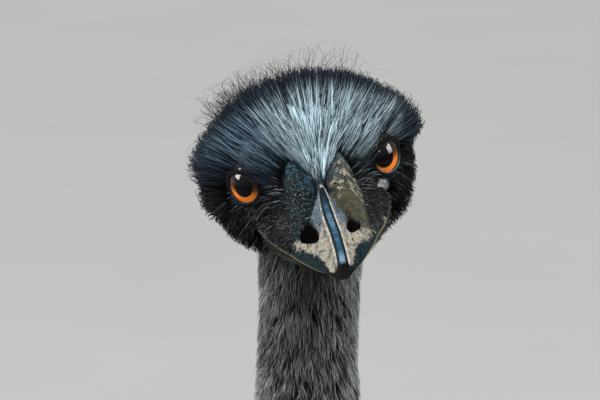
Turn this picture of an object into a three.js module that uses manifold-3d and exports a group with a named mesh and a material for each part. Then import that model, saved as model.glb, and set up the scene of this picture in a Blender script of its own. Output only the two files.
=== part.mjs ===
import * as THREE from 'three';
import { mergeVertices } from 'three/addons/utils/BufferGeometryUtils.js';
import Module from 'manifold-3d';

// An adult emu standing at rest, its neck raised and its head turned a little and tilted.
// Millimetres, +Z up. The bird faces -Y, so +X is its left side, and the floor is at Z = 0.

const degrees = THREE.MathUtils.degToRad;

// Driving dimensions of the stance
const EYE_HEIGHT = 1590;
const HEAD_Y = -470;
const HEAD_YAW = degrees(5.8);
const HEAD_PITCH = degrees(7.8);
const HEAD_ROLL = degrees(11.8);
const LEG_SPREAD = 100;
const HOCK = { y: 92, z: 425 };
const FOOT_Y = 52;
const ORIGIN_SHIFT = 52.6;

// Driving dimensions of the head, given as out to a side, forward and up from between the eyes
const EYE_RADIUS = 14;
const EYE_OUT = 30;
const EYE_UP = 1;
const EYE_LOOK = degrees(46);
const LID_THICKNESS = 1.7;
const LID_OPENING = { wide: 10.8, high: 9.1 };
const BILL_START = -8;
const BILL_LENGTH = 101;
const GAPE_HEIGHT = -24.5;
const CULMEN_START = { forward: 38, up: 4 };
const GAPE_CORNER = { forward: 12, up: -24.5 };
const RIDGE = { half: 3.4, high: 4.4, groove: 1.6 };
const NAIL = { start: 84, hook: 3.4 };
const NOSTRIL = { forward: 57, up: -13.2, out: 11.4, long: 10, high: 5.4, deep: 6, slope: -22, turn: 16 };
const EAR = { out: 51, forward: -24, up: -15, deep: 4, long: 6, high: 7.5 };

// Driving dimensions of the feet, with splay in degrees outwards
const TOES = [
  { name: 'middle', length: 150, wide: 17, high: 30, splay: 0, claw: 27 },
  { name: 'inner', length: 92, wide: 13, high: 25, splay: -33, claw: 21 },
  { name: 'outer', length: 98, wide: 13, high: 25, splay: 35, claw: 21 },
];
const FOOT_OUT = LEG_SPREAD + 7;

// Driving dimensions of the coat. Locks start sunk under the skin and rise off it towards their tips.
const BODY_LOCK = { length: 218, wide: 43, thick: 8, sink: 14, rise: 34, steps: 4 };
const CHEST_LOCK = { length: 155, wide: 35, thick: 8, sink: 13, rise: 26, steps: 3 };
const TAIL_LOCK = { length: 180, wide: 34, thick: 8, sink: 14, rise: 24, steps: 3 };
const WING_LOCK = { length: 185, wide: 27, thick: 7, sink: 7, rise: 16, steps: 3 };
const THIGH_LOCK = { length: 118, wide: 27, thick: 6, sink: 9, rise: 13, steps: 3 };
const NECK_LOCK = { length: 120, wide: 26, thick: 6, sink: 10, rise: 15, steps: 3 };
const FOREHEAD_LOCK = { length: 27, wide: 4.4, thick: 2, sink: 4, rise: 8, steps: 3 };
const CROWN_LOCK = { length: 35, wide: 5.8, thick: 2.6, sink: 5, rise: 21, steps: 3 };
const BROW_LOCK = { length: 27, wide: 5.2, thick: 2.4, sink: 5, rise: 11, steps: 3 };
const LOCK_SPACING = 90;
const HANG_SLOPE = -0.2;

const GAP = 0.3;
const SLIVER = 0.04;
// A flat lock's sharp edges have to move this many gaps outwards for its faces to move one
const EDGE_ROOM = 7;

// Sections round a form and steps along it
const MESH = {
  skull: [20, 14],
  lid: [14, 8],
  eye: [14, 8],
  upperBill: [24, 14],
  lowerBill: [12, 8],
  neck: [12, 26],
  torso: [20, 13],
  tail: [12, 7],
  wing: [8, 7],
  thigh: [12, 9],
  shank: [10, 15],
  toe: [8, 7],
  claw: [6, 4],
  nostril: [10, 6],
  ear: [8, 5],
  lockSides: 3,
};

const MATERIALS = {
  feather: new THREE.MeshStandardMaterial({ color: 0x4a4138, roughness: 0.9, metalness: 0 }),
  crown: new THREE.MeshStandardMaterial({ color: 0x23262b, roughness: 0.85, metalness: 0 }),
  bill: new THREE.MeshStandardMaterial({ color: 0x5b6670, roughness: 0.45, metalness: 0 }),
  eye: new THREE.MeshStandardMaterial({ color: 0x9a4a14, roughness: 0.08, metalness: 0 }),
  leg: new THREE.MeshStandardMaterial({ color: 0x5d564c, roughness: 0.7, metalness: 0 }),
  claw: new THREE.MeshStandardMaterial({ color: 0x1d1b19, roughness: 0.4, metalness: 0 }),
};

const SIDES = [[1, 'left'], [-1, 'right']];

// The same row of draws on every run
function seededDraws(seed) {
  let state = seed;
  return () => {
    state = (state + 0x6d2b79f5) | 0;
    let mixed = Math.imul(state ^ (state >>> 15), 1 | state);
    mixed = (mixed + Math.imul(mixed ^ (mixed >>> 7), 61 | mixed)) ^ mixed;
    return ((mixed ^ (mixed >>> 14)) >>> 0) / 4294967296;
  };
}

const draw = seededDraws(79);
const vary = (amount) => (2 * draw() - 1) * amount;

// Solids

const wasm = await Module();
wasm.setup();

function signedVolume(position, index) {
  const corner = [new THREE.Vector3(), new THREE.Vector3(), new THREE.Vector3()];
  let volume = 0;
  for (let i = 0; i < index.count; i += 3) {
    corner.forEach((point, k) => point.fromBufferAttribute(position, index.getX(i + k)));
    volume += corner[0].dot(corner[1].cross(corner[2])) / 6;
  }
  return volume;
}

function toSolid(geometry, matrix = new THREE.Matrix4()) {
  const bare = geometry.clone();
  bare.deleteAttribute('normal');
  bare.deleteAttribute('uv');
  bare.applyMatrix4(matrix);
  const merged = mergeVertices(bare);
  const triangles = Uint32Array.from(merged.index.array);
  if (signedVolume(merged.attributes.position, merged.index) < 0) {
    triangles.reverse();
  }
  const mesh = new wasm.Mesh({
    numProp: 3,
    vertProperties: Float32Array.from(merged.attributes.position.array),
    triVerts: triangles,
  });
  return new wasm.Manifold(mesh);
}

function joined(solids) {
  return wasm.Manifold.union(solids);
}

function largest(solid) {
  const pieces = solid.decompose();
  return pieces.reduce((best, piece) => (piece.volume() > best.volume() ? piece : best));
}

function bareGeometry(solid) {
  const mesh = solid.getMesh();
  const geometry = new THREE.BufferGeometry();
  geometry.setAttribute('position', new THREE.BufferAttribute(mesh.vertProperties, 3));
  geometry.setIndex(new THREE.BufferAttribute(mesh.triVerts, 1));
  return geometry;
}

// Slivers that a join leaves are dropped first, and the largest piece is taken twice, because merging
// corners that all but touch can part two pieces that met along a hair's breadth
function toGeometry(solid) {
  const clean = toSolid(bareGeometry(largest(solid.simplify(SLIVER))));
  const geometry = bareGeometry(largest(clean));
  geometry.computeVertexNormals();
  return geometry;
}

// A large block on the side of a plane that its normal points to
function halfSpace(point, normal) {
  const size = 1000;
  const up = new THREE.Vector3(0, 0, 1);
  const turn = new THREE.Quaternion().setFromUnitVectors(up, normal.clone().normalize());
  const place = new THREE.Matrix4().compose(point, turn, new THREE.Vector3(1, 1, 1));
  return toSolid(new THREE.BoxGeometry(size, size, size).translate(0, 0, size / 2), place);
}

function aboveFloor(solid) {
  return solid.subtract(halfSpace(new THREE.Vector3(0, 0, 0), new THREE.Vector3(0, 0, -1)));
}

function ball(radius, [around, along]) {
  return new THREE.SphereGeometry(radius, around, along).rotateX(Math.PI / 2);
}

// A form is a closed skin with rounded ends, laid along a line of stations. Each station has a place,
// a half width to the sides, and a depth above and below the line.
class Form {
  constructor(stations, startRound, endRound, mesh) {
    this.line = new THREE.CatmullRomCurve3(stations.map((s) => new THREE.Vector3(...s.at)));
    this.sizes = new THREE.CatmullRomCurve3(stations.map((s) => new THREE.Vector3(s.wide, s.high, s.low)));
    this.length = this.line.getLength();
    this.startRound = startRound;
    this.endRound = endRound;
    this.mesh = mesh;
  }

  // How far the section has opened at a share t of the line, a quarter ellipse at each end
  opening(t) {
    const fromStart = Math.min(1, (t * this.length) / this.startRound);
    const fromEnd = Math.min(1, ((1 - t) * this.length) / this.endRound);
    return Math.sqrt(1 - (1 - fromStart) ** 2) * Math.sqrt(1 - (1 - fromEnd) ** 2);
  }

  axes(t) {
    const along = this.line.getTangent(t);
    const side = new THREE.Vector3(1, 0, 0).addScaledVector(along, -along.x).normalize();
    return { along, side, up: side.clone().cross(along) };
  }

  point(t, angle, grow = 0) {
    const { along, side, up } = this.axes(t);
    const size = this.sizes.getPoint(t);
    const open = this.opening(t);
    const rise = Math.sin(angle);
    const depth = rise > 0 ? size.y : size.z;
    const swell = grow * Math.min(1, open * 2);
    return this.line
      .getPoint(t)
      .addScaledVector(side, (size.x * open + swell) * Math.cos(angle))
      .addScaledVector(up, (depth * open + swell) * rise)
      .addScaledVector(along, grow * (2 * t - 1));
  }

  // How the skin runs at a place on it: along the form, round it, and straight out of it
  lie(t, angle) {
    const step = 1e-3;
    const along = this.point(t + step, angle).sub(this.point(t - step, angle)).divideScalar(2 * step);
    const round = this.point(t, angle + step).sub(this.point(t, angle - step)).divideScalar(2 * step);
    return { along, round, out: along.clone().cross(round).normalize() };
  }

  geometry(grow = 0) {
    const geometry = new THREE.SphereGeometry(1, ...this.mesh);
    const { position, uv } = geometry.attributes;
    for (let i = 0; i < position.count; i += 1) {
      const t = (1 - Math.cos(Math.PI * (1 - uv.getY(i)))) / 2;
      const pole = t < 1e-9 || t > 1 - 1e-9;
      const place = this.point(t, pole ? 0 : 2 * Math.PI * (uv.getX(i) % 1), grow);
      position.setXYZ(i, place.x, place.y, place.z);
    }
    return geometry;
  }

  solid(grow = 0, matrix = undefined) {
    return toSolid(this.geometry(grow), matrix);
  }

  // Whether a place is inside the form, once it is grown
  holds(place, grow) {
    const samples = 60;
    let nearest = 0;
    let least = Infinity;
    for (let i = 0; i <= samples; i += 1) {
      const reach = this.line.getPoint(i / samples).distanceTo(place);
      if (reach < least) {
        least = reach;
        nearest = i / samples;
      }
    }
    const { side, up } = this.axes(nearest);
    const away = place.clone().sub(this.line.getPoint(nearest));
    const size = this.sizes.getPoint(nearest);
    const rise = away.dot(up);
    const depth = rise > 0 ? size.y : size.z;
    const past = away.dot(this.axes(nearest).along) / (this.length * 0.1);
    return Math.hypot(away.dot(side) / (size.x + grow), rise / (depth + grow), past) < 1;
  }
}

// Locks

// The line of a lock that starts at a place on a form and lies along its skin, the way that the
// pull goes, until the skin turns under it and it hangs free
function lockLine(form, start, size, pull) {
  const { steps } = size;
  const stride = size.length / steps;
  let { t, angle } = start;
  let place = form.point(t, angle);
  let out = form.lie(t, angle).out;
  let hanging = false;
  const line = [];
  for (let i = 0; i <= steps; i += 1) {
    const share = i / steps;
    const lift = -size.sink + (size.sink + size.rise) * (1 - (1 - share) ** 2);
    line.push({ place: place.clone().addScaledVector(out, lift), out: out.clone() });
    const way = pull(place, out, share);
    const skin = form.lie(t, angle);
    hanging = hanging || skin.out.z < HANG_SLOPE || t > 0.96 || t < 0.01;
    if (hanging) {
      place = place.clone().addScaledVector(way.normalize(), stride);
    } else {
      way.addScaledVector(skin.out, -way.dot(skin.out)).setLength(stride);
      const aa = skin.along.lengthSq();
      const rr = skin.round.lengthSq();
      const ar = skin.along.dot(skin.round);
      const det = aa * rr - ar * ar;
      const wa = way.dot(skin.along);
      const wr = way.dot(skin.round);
      t = THREE.MathUtils.clamp(t + (wa * rr - wr * ar) / det, 0.002, 0.998);
      angle += (wr * aa - wa * ar) / det;
      place = form.point(t, angle);
      out = form.lie(t, angle).out;
    }
  }
  return line;
}

// The axes of a lock at each step of its line. Its flat side turns towards the skin, but never over.
function lockAxes(line) {
  const keep = 0.6;
  let before = new THREE.Vector3();
  return line.map(({ out }, k) => {
    const next = line[Math.min(k + 1, line.length - 1)].place;
    const ahead = next.clone().sub(line[Math.max(k - 1, 0)].place).normalize();
    const flat = ahead.clone().cross(out);
    const turn = flat.dot(before) < 0 ? -1 : 1;
    const side = flat.multiplyScalar(turn).addScaledVector(before, keep);
    side.addScaledVector(ahead, -side.dot(ahead)).normalize();
    before = side;
    return { ahead, side, out: side.clone().cross(ahead) };
  });
}

// A flat lock with a low ridge, widest a third of the way along and running out to a point
function lockGeometry(line, size, grow) {
  const { steps } = size;
  const axes = lockAxes(line);
  const geometry = new THREE.ConeGeometry(1, 1, MESH.lockSides, steps);
  const { position } = geometry.attributes;
  for (let i = 0; i < position.count; i += 1) {
    const share = position.getY(i) + 0.5;
    const k = Math.round(share * steps);
    const { ahead, side, out } = axes[k];
    const taper = (1 - share ** 3) * Math.min(1, 0.62 + 1.3 * share);
    const left = 1 - share;
    const across = left > 0.01 ? position.getX(i) / left / Math.sin(degrees(60)) : 0;
    const rise = left > 0.01 ? position.getZ(i) / left : 0;
    const place = line[k].place
      .clone()
      .addScaledVector(side, across * (size.wide * taper + grow * EDGE_ROOM))
      .addScaledVector(out, rise * size.thick * taper * 0.6 + Math.sign(rise) * grow)
      .addScaledVector(ahead, grow * (k === steps ? 1 : k === 0 ? -1 : 0));
    position.setXYZ(i, place.x, place.y, place.z);
  }
  return geometry;
}

function varied(size, amount = 0.14) {
  return {
    ...size,
    length: size.length * (1 + vary(amount)),
    wide: size.wide * (1 + vary(amount)),
    rise: size.rise * (1 + vary(amount * 1.6)),
  };
}

// A coat keeps the line and size of each of its locks, so that it can be made again a little larger
class Coat {
  constructor() {
    this.locks = [];
  }

  add(form, start, size, pull) {
    const own = varied(size);
    this.locks.push({ line: lockLine(form, start, own, pull), size: own });
  }

  solid(grow = 0, matrix = undefined) {
    return joined(this.locks.map(({ line, size }) => toSolid(lockGeometry(line, size, grow), matrix)));
  }
}

const bird = new THREE.Group();
const head = new THREE.Group();
head.position.set(0, HEAD_Y, EYE_HEIGHT);
head.rotation.set(HEAD_PITCH, -HEAD_ROLL, HEAD_YAW, 'ZXY');
bird.add(head);
head.updateWorldMatrix(true, false);

function addPiece(group, name, solid, material) {
  const mesh = new THREE.Mesh(toGeometry(solid), material);
  mesh.name = name;
  group.add(mesh);
}

// Forms of the body

const torsoForm = new Form(
  [
    { at: [0, -345, 930], wide: 62, high: 62, low: 80 },
    { at: [0, -280, 925], wide: 122, high: 118, low: 145 },
    { at: [0, -170, 905], wide: 168, high: 178, low: 195 },
    { at: [0, -20, 890], wide: 192, high: 205, low: 215 },
    { at: [0, 130, 875], wide: 188, high: 198, low: 200 },
    { at: [0, 265, 850], wide: 152, high: 158, low: 165 },
    { at: [0, 350, 820], wide: 100, high: 95, low: 105 },
  ],
  80,
  55,
  MESH.torso,
);

const neckForm = new Form(
  [
    { at: [0, -205, 975], wide: 112, high: 100, low: 100 },
    { at: [0, -258, 1060], wide: 82, high: 76, low: 80 },
    { at: [-3, -316, 1148], wide: 50, high: 50, low: 54 },
    { at: [-5, -372, 1245], wide: 35, high: 38, low: 40 },
    { at: [-5, -412, 1350], wide: 30, high: 33, low: 33 },
    { at: [-4, -430, 1440], wide: 27.5, high: 30, low: 30 },
    { at: [-3, -432, 1500], wide: 28.5, high: 32, low: 32 },
    { at: [-2, -434, 1538], wide: 37, high: 34, low: 33 },
    { at: [-1, -436, 1575], wide: 37, high: 28, low: 34 },
  ],
  60,
  22,
  MESH.neck,
);
const NECK_CUTS = [0.42, 0.72];

const tailForm = new Form(
  [
    { at: [0, 270, 868], wide: 104, high: 84, low: 100 },
    { at: [0, 345, 822], wide: 98, high: 72, low: 84 },
    { at: [0, 388, 762], wide: 74, high: 50, low: 60 },
    { at: [0, 404, 712], wide: 42, high: 28, low: 34 },
  ],
  60,
  40,
  MESH.tail,
);

const skullForm = new Form(
  [
    { at: [0, -46, -7], wide: 10, high: 7, low: 14 },
    { at: [0, -30, -9], wide: 23.5, high: 17, low: 23 },
    { at: [0, -12, -10], wide: 35, high: 31, low: 29 },
    { at: [0, 4, -10], wide: 43, high: 39, low: 34 },
    { at: [0, 24, -12], wide: 56, high: 45, low: 42 },
    { at: [0, 46, -14], wide: 52, high: 40, low: 42 },
    { at: [0, 70, -18], wide: 34, high: 28, low: 32 },
  ],
  16,
  40,
  MESH.skull,
);

// This form runs forwards, so its high side is the underside
const lowerBillForm = new Form(
  [
    { at: [0, 12, -31], wide: 35, high: 10, low: 12 },
    { at: [0, -10, -31], wide: 34, high: 9, low: 12 },
    { at: [0, -36, -30], wide: 27.5, high: 6.5, low: 12 },
    { at: [0, -58, -29.5], wide: 17.5, high: 4.2, low: 12 },
    { at: [0, -74, -29], wide: 10.5, high: 3, low: 12 },
    { at: [0, -86, -28], wide: 6, high: 2.2, low: 12 },
  ],
  8,
  10,
  MESH.lowerBill,
);

// A small wing lies along each flank, under the coat
function wingForm(side) {
  const at = (t, turn, out) => torsoForm.point(t, side > 0 ? turn : Math.PI - turn, out).toArray();
  return new Form(
    [
      { at: at(0.25, 0.42, -8), wide: 12, high: 18, low: 22 },
      { at: at(0.33, 0.34, -2), wide: 13, high: 24, low: 28 },
      { at: at(0.42, 0.2, -1), wide: 12, high: 20, low: 24 },
      { at: at(0.5, 0.08, -3), wide: 9, high: 13, low: 16 },
    ],
    40,
    50,
    MESH.wing,
  );
}

function thighForm(side) {
  const x = (out) => side * (LEG_SPREAD + out);
  return new Form(
    [
      { at: [x(-6), HOCK.y - 140, 760], wide: 60, high: 78, low: 78 },
      { at: [x(-4), HOCK.y - 110, 660], wide: 52, high: 66, low: 66 },
      { at: [x(-1), HOCK.y - 62, 565], wide: 38, high: 45, low: 45 },
      { at: [x(0), HOCK.y - 22, 490], wide: 27, high: 29, low: 29 },
      { at: [x(0), HOCK.y - 2, HOCK.z + 16], wide: 23, high: 25, low: 25 },
    ],
    30,
    14,
    MESH.thigh,
  );
}

function shankForm(side) {
  const x = (out) => side * (LEG_SPREAD + out);
  return new Form(
    [
      { at: [x(0), HOCK.y + 2, HOCK.z + 26], wide: 23, high: 25, low: 26 },
      { at: [x(0), HOCK.y, HOCK.z - 10], wide: 27, high: 27, low: 30 },
      { at: [x(2), HOCK.y - 8, 345], wide: 18, high: 20, low: 22 },
      { at: [x(4), HOCK.y - 18, 220], wide: 15.5, high: 17, low: 19 },
      { at: [x(6), FOOT_Y + 12, 110], wide: 17, high: 19, low: 20 },
      { at: [x(7), FOOT_Y + 4, 55], wide: 23, high: 24, low: 24 },
      { at: [x(7), FOOT_Y, 14], wide: 25, high: 25, low: 27 },
      { at: [x(7), FOOT_Y, -12], wide: 24, high: 23, low: 25 },
    ],
    18,
    12,
    MESH.shank,
  );
}

function toeForms(side, toe) {
  const turn = degrees(toe.splay) * side;
  const ahead = new THREE.Vector3(Math.sin(turn), -Math.cos(turn), 0);
  const start = new THREE.Vector3(side * FOOT_OUT, FOOT_Y, 0);
  const at = (reach, up) => [start.x + ahead.x * reach, start.y + ahead.y * reach, up];
  const toeForm = new Form(
    [
      { at: at(0, 8), wide: toe.wide, high: toe.high, low: 14 },
      { at: at(toe.length * 0.35, 7), wide: toe.wide * 0.95, high: toe.high * 0.72, low: 12 },
      { at: at(toe.length * 0.7, 6), wide: toe.wide * 0.86, high: toe.high * 0.56, low: 10 },
      { at: at(toe.length, 5), wide: toe.wide * 0.66, high: toe.high * 0.4, low: 9 },
    ],
    10,
    16,
    MESH.toe,
  );
  const clawForm = new Form(
    [
      { at: at(toe.length * 0.9, 9), wide: toe.wide * 0.42, high: toe.high * 0.26, low: 6 },
      { at: at(toe.length, 8), wide: toe.wide * 0.4, high: toe.high * 0.24, low: 6 },
      { at: at(toe.length + toe.claw * 0.6, 6), wide: toe.wide * 0.25, high: toe.high * 0.16, low: 4 },
      { at: at(toe.length + toe.claw, 2.5), wide: toe.wide * 0.12, high: 1.6, low: 1.6 },
    ],
    6,
    5,
    MESH.claw,
  );
  return { toeForm, clawForm };
}

// Bill

const billBase = new THREE.Vector3(0, -CULMEN_START.forward, CULMEN_START.up);
const billBaseNormal = new THREE.Vector3(
  0,
  -(CULMEN_START.up - GAPE_CORNER.up),
  -(CULMEN_START.forward - GAPE_CORNER.forward),
).normalize();

// Half width of the bill at its cutting edge, from behind the corner of the gape to the tip
const BILL_EDGE = new THREE.SplineCurve(
  [[-10, 37], [10, 36], [25, 33.5], [40, 29.5], [55, 23], [68, 16.5], [82, 11], [93, 7.4], [101, 5]].map(
    ([forward, half]) => new THREE.Vector2(forward, half),
  ),
);
// Height of the bill's ridge over the same length
const BILL_RIDGE = new THREE.SplineCurve(
  [[-10, 16], [20, 9], [38, 4], [60, -5.5], [80, -14.5], [92, -20], [101, -25.5]].map(
    ([forward, up]) => new THREE.Vector2(forward, up),
  ),
);

// The value of a curve at a distance forward, found by halving
function curveAt(curve, forward) {
  let low = 0;
  let high = 1;
  for (let i = 0; i < 24; i += 1) {
    const middle = (low + high) / 2;
    if (curve.getPoint(middle).x < forward) {
      low = middle;
    } else {
      high = middle;
    }
  }
  return curve.getPoint((low + high) / 2).y;
}

// The top of the upper bill: a narrow ridge over flanks that fall to the cutting edge
function billTop(forward, share, nail) {
  const ridgeHigh = RIDGE.high * (1 - 0.6 * nail);
  const roof = curveAt(BILL_RIDGE, forward) - ridgeHigh - GAPE_HEIGHT;
  const flank = roof * (1 - share ** 2.3) ** 0.85;
  const out = share * curveAt(BILL_EDGE, forward);
  const ridge = ridgeHigh * Math.exp(-((out / RIDGE.half) ** 4) * 0.5) * (1 - share ** 4);
  const groove = RIDGE.groove * (1 - nail) * Math.exp(-((out / RIDGE.half - 2.2) ** 2)) * (1 - share ** 2);
  return GAPE_HEIGHT + flank + ridge - groove;
}

// A share from the ridge to the edge at a turn round the bill, with more of them close to the ridge
function billShare(turn) {
  const across = Math.cos(turn);
  return Math.sign(across) * Math.abs(across) ** 1.7;
}

function upperBillGeometry(grow = 0) {
  const tipRound = 9;
  const geometry = new THREE.SphereGeometry(1, ...MESH.upperBill);
  const { position, uv } = geometry.attributes;
  for (let i = 0; i < position.count; i += 1) {
    const t = (1 - Math.cos(Math.PI * (1 - uv.getY(i)))) / 2;
    const turn = 2 * Math.PI * (uv.getX(i) % 1);
    const forward = BILL_START + (BILL_LENGTH - BILL_START) * t;
    const fromTip = Math.min(1, (BILL_LENGTH - forward) / tipRound);
    const open = Math.min(1, t * 12) * Math.sqrt(1 - (1 - fromTip) ** 2);
    const nail = THREE.MathUtils.smoothstep(forward, NAIL.start, BILL_LENGTH);
    const floor = GAPE_HEIGHT - NAIL.hook * nail + (1 - open) * 2;
    const top = billTop(forward, Math.abs(billShare(turn)), nail) - NAIL.hook * nail * 0.4;
    const out = (curveAt(BILL_EDGE, forward) + grow) * open * billShare(turn);
    const above = Math.sin(turn) > 1e-6;
    const up = above ? floor + (top - floor) * open + grow : floor - grow;
    position.setXYZ(i, out, -forward - grow * (2 * t - 1), open < 1e-6 ? floor : up);
  }
  return geometry;
}

function behindBillBase() {
  return halfSpace(billBase, billBaseNormal.clone().negate());
}

function nostril(side) {
  const hole = ball(1, MESH.nostril).scale(NOSTRIL.deep, NOSTRIL.long, NOSTRIL.high);
  hole.rotateX(degrees(NOSTRIL.slope)).rotateZ(degrees(side * NOSTRIL.turn));
  return toSolid(hole.translate(side * NOSTRIL.out, -NOSTRIL.forward, NOSTRIL.up));
}

function upperBill() {
  const whole = toSolid(upperBillGeometry()).subtract(behindBillBase());
  return SIDES.reduce((solid, [side]) => solid.subtract(nostril(side)), whole);
}

function lowerBill() {
  const gape = halfSpace(new THREE.Vector3(0, 0, GAPE_HEIGHT - GAP), new THREE.Vector3(0, 0, 1));
  const whole = lowerBillForm.solid().subtract(toSolid(upperBillGeometry(GAP)));
  return whole.subtract(behindBillBase()).subtract(gape);
}

// Eyes and lids

function eyeMatrix(side) {
  const place = new THREE.Vector3(side * EYE_OUT, 0, EYE_UP);
  const turn = new THREE.Quaternion().setFromAxisAngle(new THREE.Vector3(0, 0, 1), side * EYE_LOOK);
  return new THREE.Matrix4().compose(place, turn, new THREE.Vector3(1, 1, 1));
}

function eyeball(side, grow = 0) {
  return toSolid(ball(EYE_RADIUS + grow, MESH.eye), eyeMatrix(side));
}

// Lids are a thin round over the eyeball, with an oval opening where the eye looks out
function lids(side) {
  return toSolid(ball(EYE_RADIUS + GAP + LID_THICKNESS, MESH.lid), eyeMatrix(side));
}

function lidOpening(side) {
  const cut = new THREE.CylinderGeometry(1, 1, EYE_RADIUS * 2, MESH.lid[0]);
  cut.scale(LID_OPENING.wide, 1, LID_OPENING.high).translate(0, -EYE_RADIUS, 0);
  return toSolid(cut, eyeMatrix(side));
}

function ear(side) {
  const hole = ball(1, MESH.ear).scale(EAR.deep, EAR.long, EAR.high);
  return toSolid(hole.translate(side * EAR.out, -EAR.forward, EAR.up));
}

// Coats

function torsoPull(place, out, share) {
  const parting = Math.sign(place.x || 1) * Math.max(0, out.z);
  return new THREE.Vector3(0.55 * parting, 0.6 - 0.35 * share, -1);
}

// Rows of locks from the chest to the rump, down both flanks from the parting along the back
function torsoCoat(skip) {
  const coat = new Coat();
  const rows = Math.round(torsoForm.length / (LOCK_SPACING * 0.86));
  for (let row = 0; row < rows; row += 1) {
    const t = 0.045 + (0.875 * row) / (rows - 1);
    const size = torsoForm.sizes.getPoint(t);
    const lowest = t < 0.2 ? -50 : -14;
    const girth = (size.x + size.y) * torsoForm.opening(t) * 0.8 * degrees(88 - lowest);
    const count = Math.max(3, Math.round(girth / LOCK_SPACING));
    for (const [side] of SIDES) {
      for (let i = 0; i < count; i += 1) {
        const turn = degrees(88 - ((88 - lowest) * (i + (row % 2) * 0.5)) / count) + vary(0.05);
        const start = { t: t + vary(0.012), angle: side > 0 ? turn : Math.PI - turn };
        const root = torsoForm.point(start.t, start.angle);
        if (!skip.some((form) => form.holds(root, 10))) {
          coat.add(torsoForm, start, t < 0.2 ? CHEST_LOCK : BODY_LOCK, torsoPull);
        }
      }
    }
  }
  return coat;
}

// Rings of locks round a form, each over the angles from its first to its last lock
function ringedCoat(form, rings, pull) {
  const coat = new Coat();
  for (const { t, kind, count, first, last } of rings) {
    for (let i = 0; i < count; i += 1) {
      const angle = first + ((last - first) * (i + vary(0.12))) / Math.max(1, count - 1);
      coat.add(form, { t: t + vary(0.01), angle: degrees(angle) }, kind, pull);
    }
  }
  return coat;
}

function tailCoat() {
  const rings = [
    { t: 0.3, count: 5, first: 20, last: 160 },
    { t: 0.52, count: 5, first: -10, last: 190 },
    { t: 0.8, count: 4, first: -10, last: 190 },
  ];
  const pull = (place, out, share) => new THREE.Vector3(place.x * 0.002, 0.4 - 0.4 * share, -1);
  return ringedCoat(tailForm, rings.map((ring) => ({ ...ring, kind: TAIL_LOCK })), pull);
}

function wingCoat(side, form) {
  const [first, last] = side > 0 ? [-25, 50] : [205, 130];
  const rings = [0.12, 0.45, 0.76].map((t) => ({ t, kind: WING_LOCK, count: 2, first, last }));
  return ringedCoat(form, rings, () => new THREE.Vector3(0, 0.7, -1));
}

function thighCoat(form) {
  const rings = [
    { t: 0.44, kind: THIGH_LOCK, count: 5, first: 0, last: 288 },
    { t: 0.68, kind: THIGH_LOCK, count: 5, first: 36, last: 324 },
  ];
  return ringedCoat(form, rings, () => new THREE.Vector3(0, 0.35, -1));
}

function neckCoat() {
  const rings = [
    { t: 0.15, kind: NECK_LOCK, count: 8, first: 0, last: 315 },
    { t: 0.27, kind: NECK_LOCK, count: 6, first: 20, last: 320 },
  ];
  return ringedCoat(neckForm, rings, () => new THREE.Vector3(0, 0, -1));
}

// The crown's hair-like feathers fan out from the root of the bill, up, to the sides and back
function crownCoat() {
  const root = new THREE.Vector3(0, -CULMEN_START.forward, CULMEN_START.up - 6);
  const rings = [
    { t: 0.2, kind: FOREHEAD_LOCK, count: 4, first: 58, last: 122 },
    { t: 0.34, kind: FOREHEAD_LOCK, count: 6, first: 46, last: 134 },
    { t: 0.48, kind: CROWN_LOCK, count: 8, first: 40, last: 140 },
    { t: 0.62, kind: CROWN_LOCK, count: 9, first: 32, last: 148 },
    { t: 0.78, kind: CROWN_LOCK, count: 8, first: 28, last: 152 },
  ];
  for (const t of [0.52, 0.68]) {
    rings.push({ t, kind: BROW_LOCK, count: 3, first: 4, last: 27 });
    rings.push({ t, kind: BROW_LOCK, count: 3, first: 176, last: 153 });
  }
  return ringedCoat(skullForm, rings, (place) => place.clone().sub(root).normalize());
}

// Head

const crown = crownCoat();

function skull() {
  let solid = skullForm.solid().add(crown.solid());
  for (const [side] of SIDES) {
    solid = solid.add(lids(side)).subtract(lidOpening(side)).subtract(eyeball(side, GAP)).subtract(ear(side));
  }
  const cut = billBase.clone().addScaledVector(billBaseNormal, -GAP);
  return solid.subtract(halfSpace(cut, billBaseNormal));
}

addPiece(head, 'head', skull(), MATERIALS.crown);
addPiece(head, 'bill_upper', upperBill(), MATERIALS.bill);
addPiece(head, 'bill_lower', lowerBill(), MATERIALS.bill);
addPiece(head, 'eye_left', eyeball(1), MATERIALS.eye);
addPiece(head, 'eye_right', eyeball(-1), MATERIALS.eye);

// Neck

function neckBetween(from, to) {
  let solid = neckForm.solid();
  if (from > 0) {
    const along = neckForm.line.getTangent(from);
    const cut = neckForm.line.getPoint(from).addScaledVector(along, GAP / 2);
    solid = solid.subtract(halfSpace(cut, along.negate()));
  }
  if (to < 1) {
    const along = neckForm.line.getTangent(to);
    const cut = neckForm.line.getPoint(to).addScaledVector(along, -GAP / 2);
    solid = solid.subtract(halfSpace(cut, along));
  }
  return solid;
}

const torsoGrown = torsoForm.solid(GAP);
const neckLocks = neckCoat();
const neckLower = neckBetween(0, NECK_CUTS[0]).add(neckLocks.solid()).subtract(torsoGrown);
const neckUpper = neckBetween(NECK_CUTS[1], 1)
  .subtract(skullForm.solid(GAP, head.matrixWorld))
  .subtract(crown.solid(GAP, head.matrixWorld))
  .subtract(lowerBillForm.solid(GAP, head.matrixWorld));
addPiece(bird, 'neck_lower', neckLower, MATERIALS.feather);
addPiece(bird, 'neck_middle', neckBetween(...NECK_CUTS), MATERIALS.feather);
addPiece(bird, 'neck_upper', neckUpper, MATERIALS.crown);

// Tail, wings and thighs, each set on the torso

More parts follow.
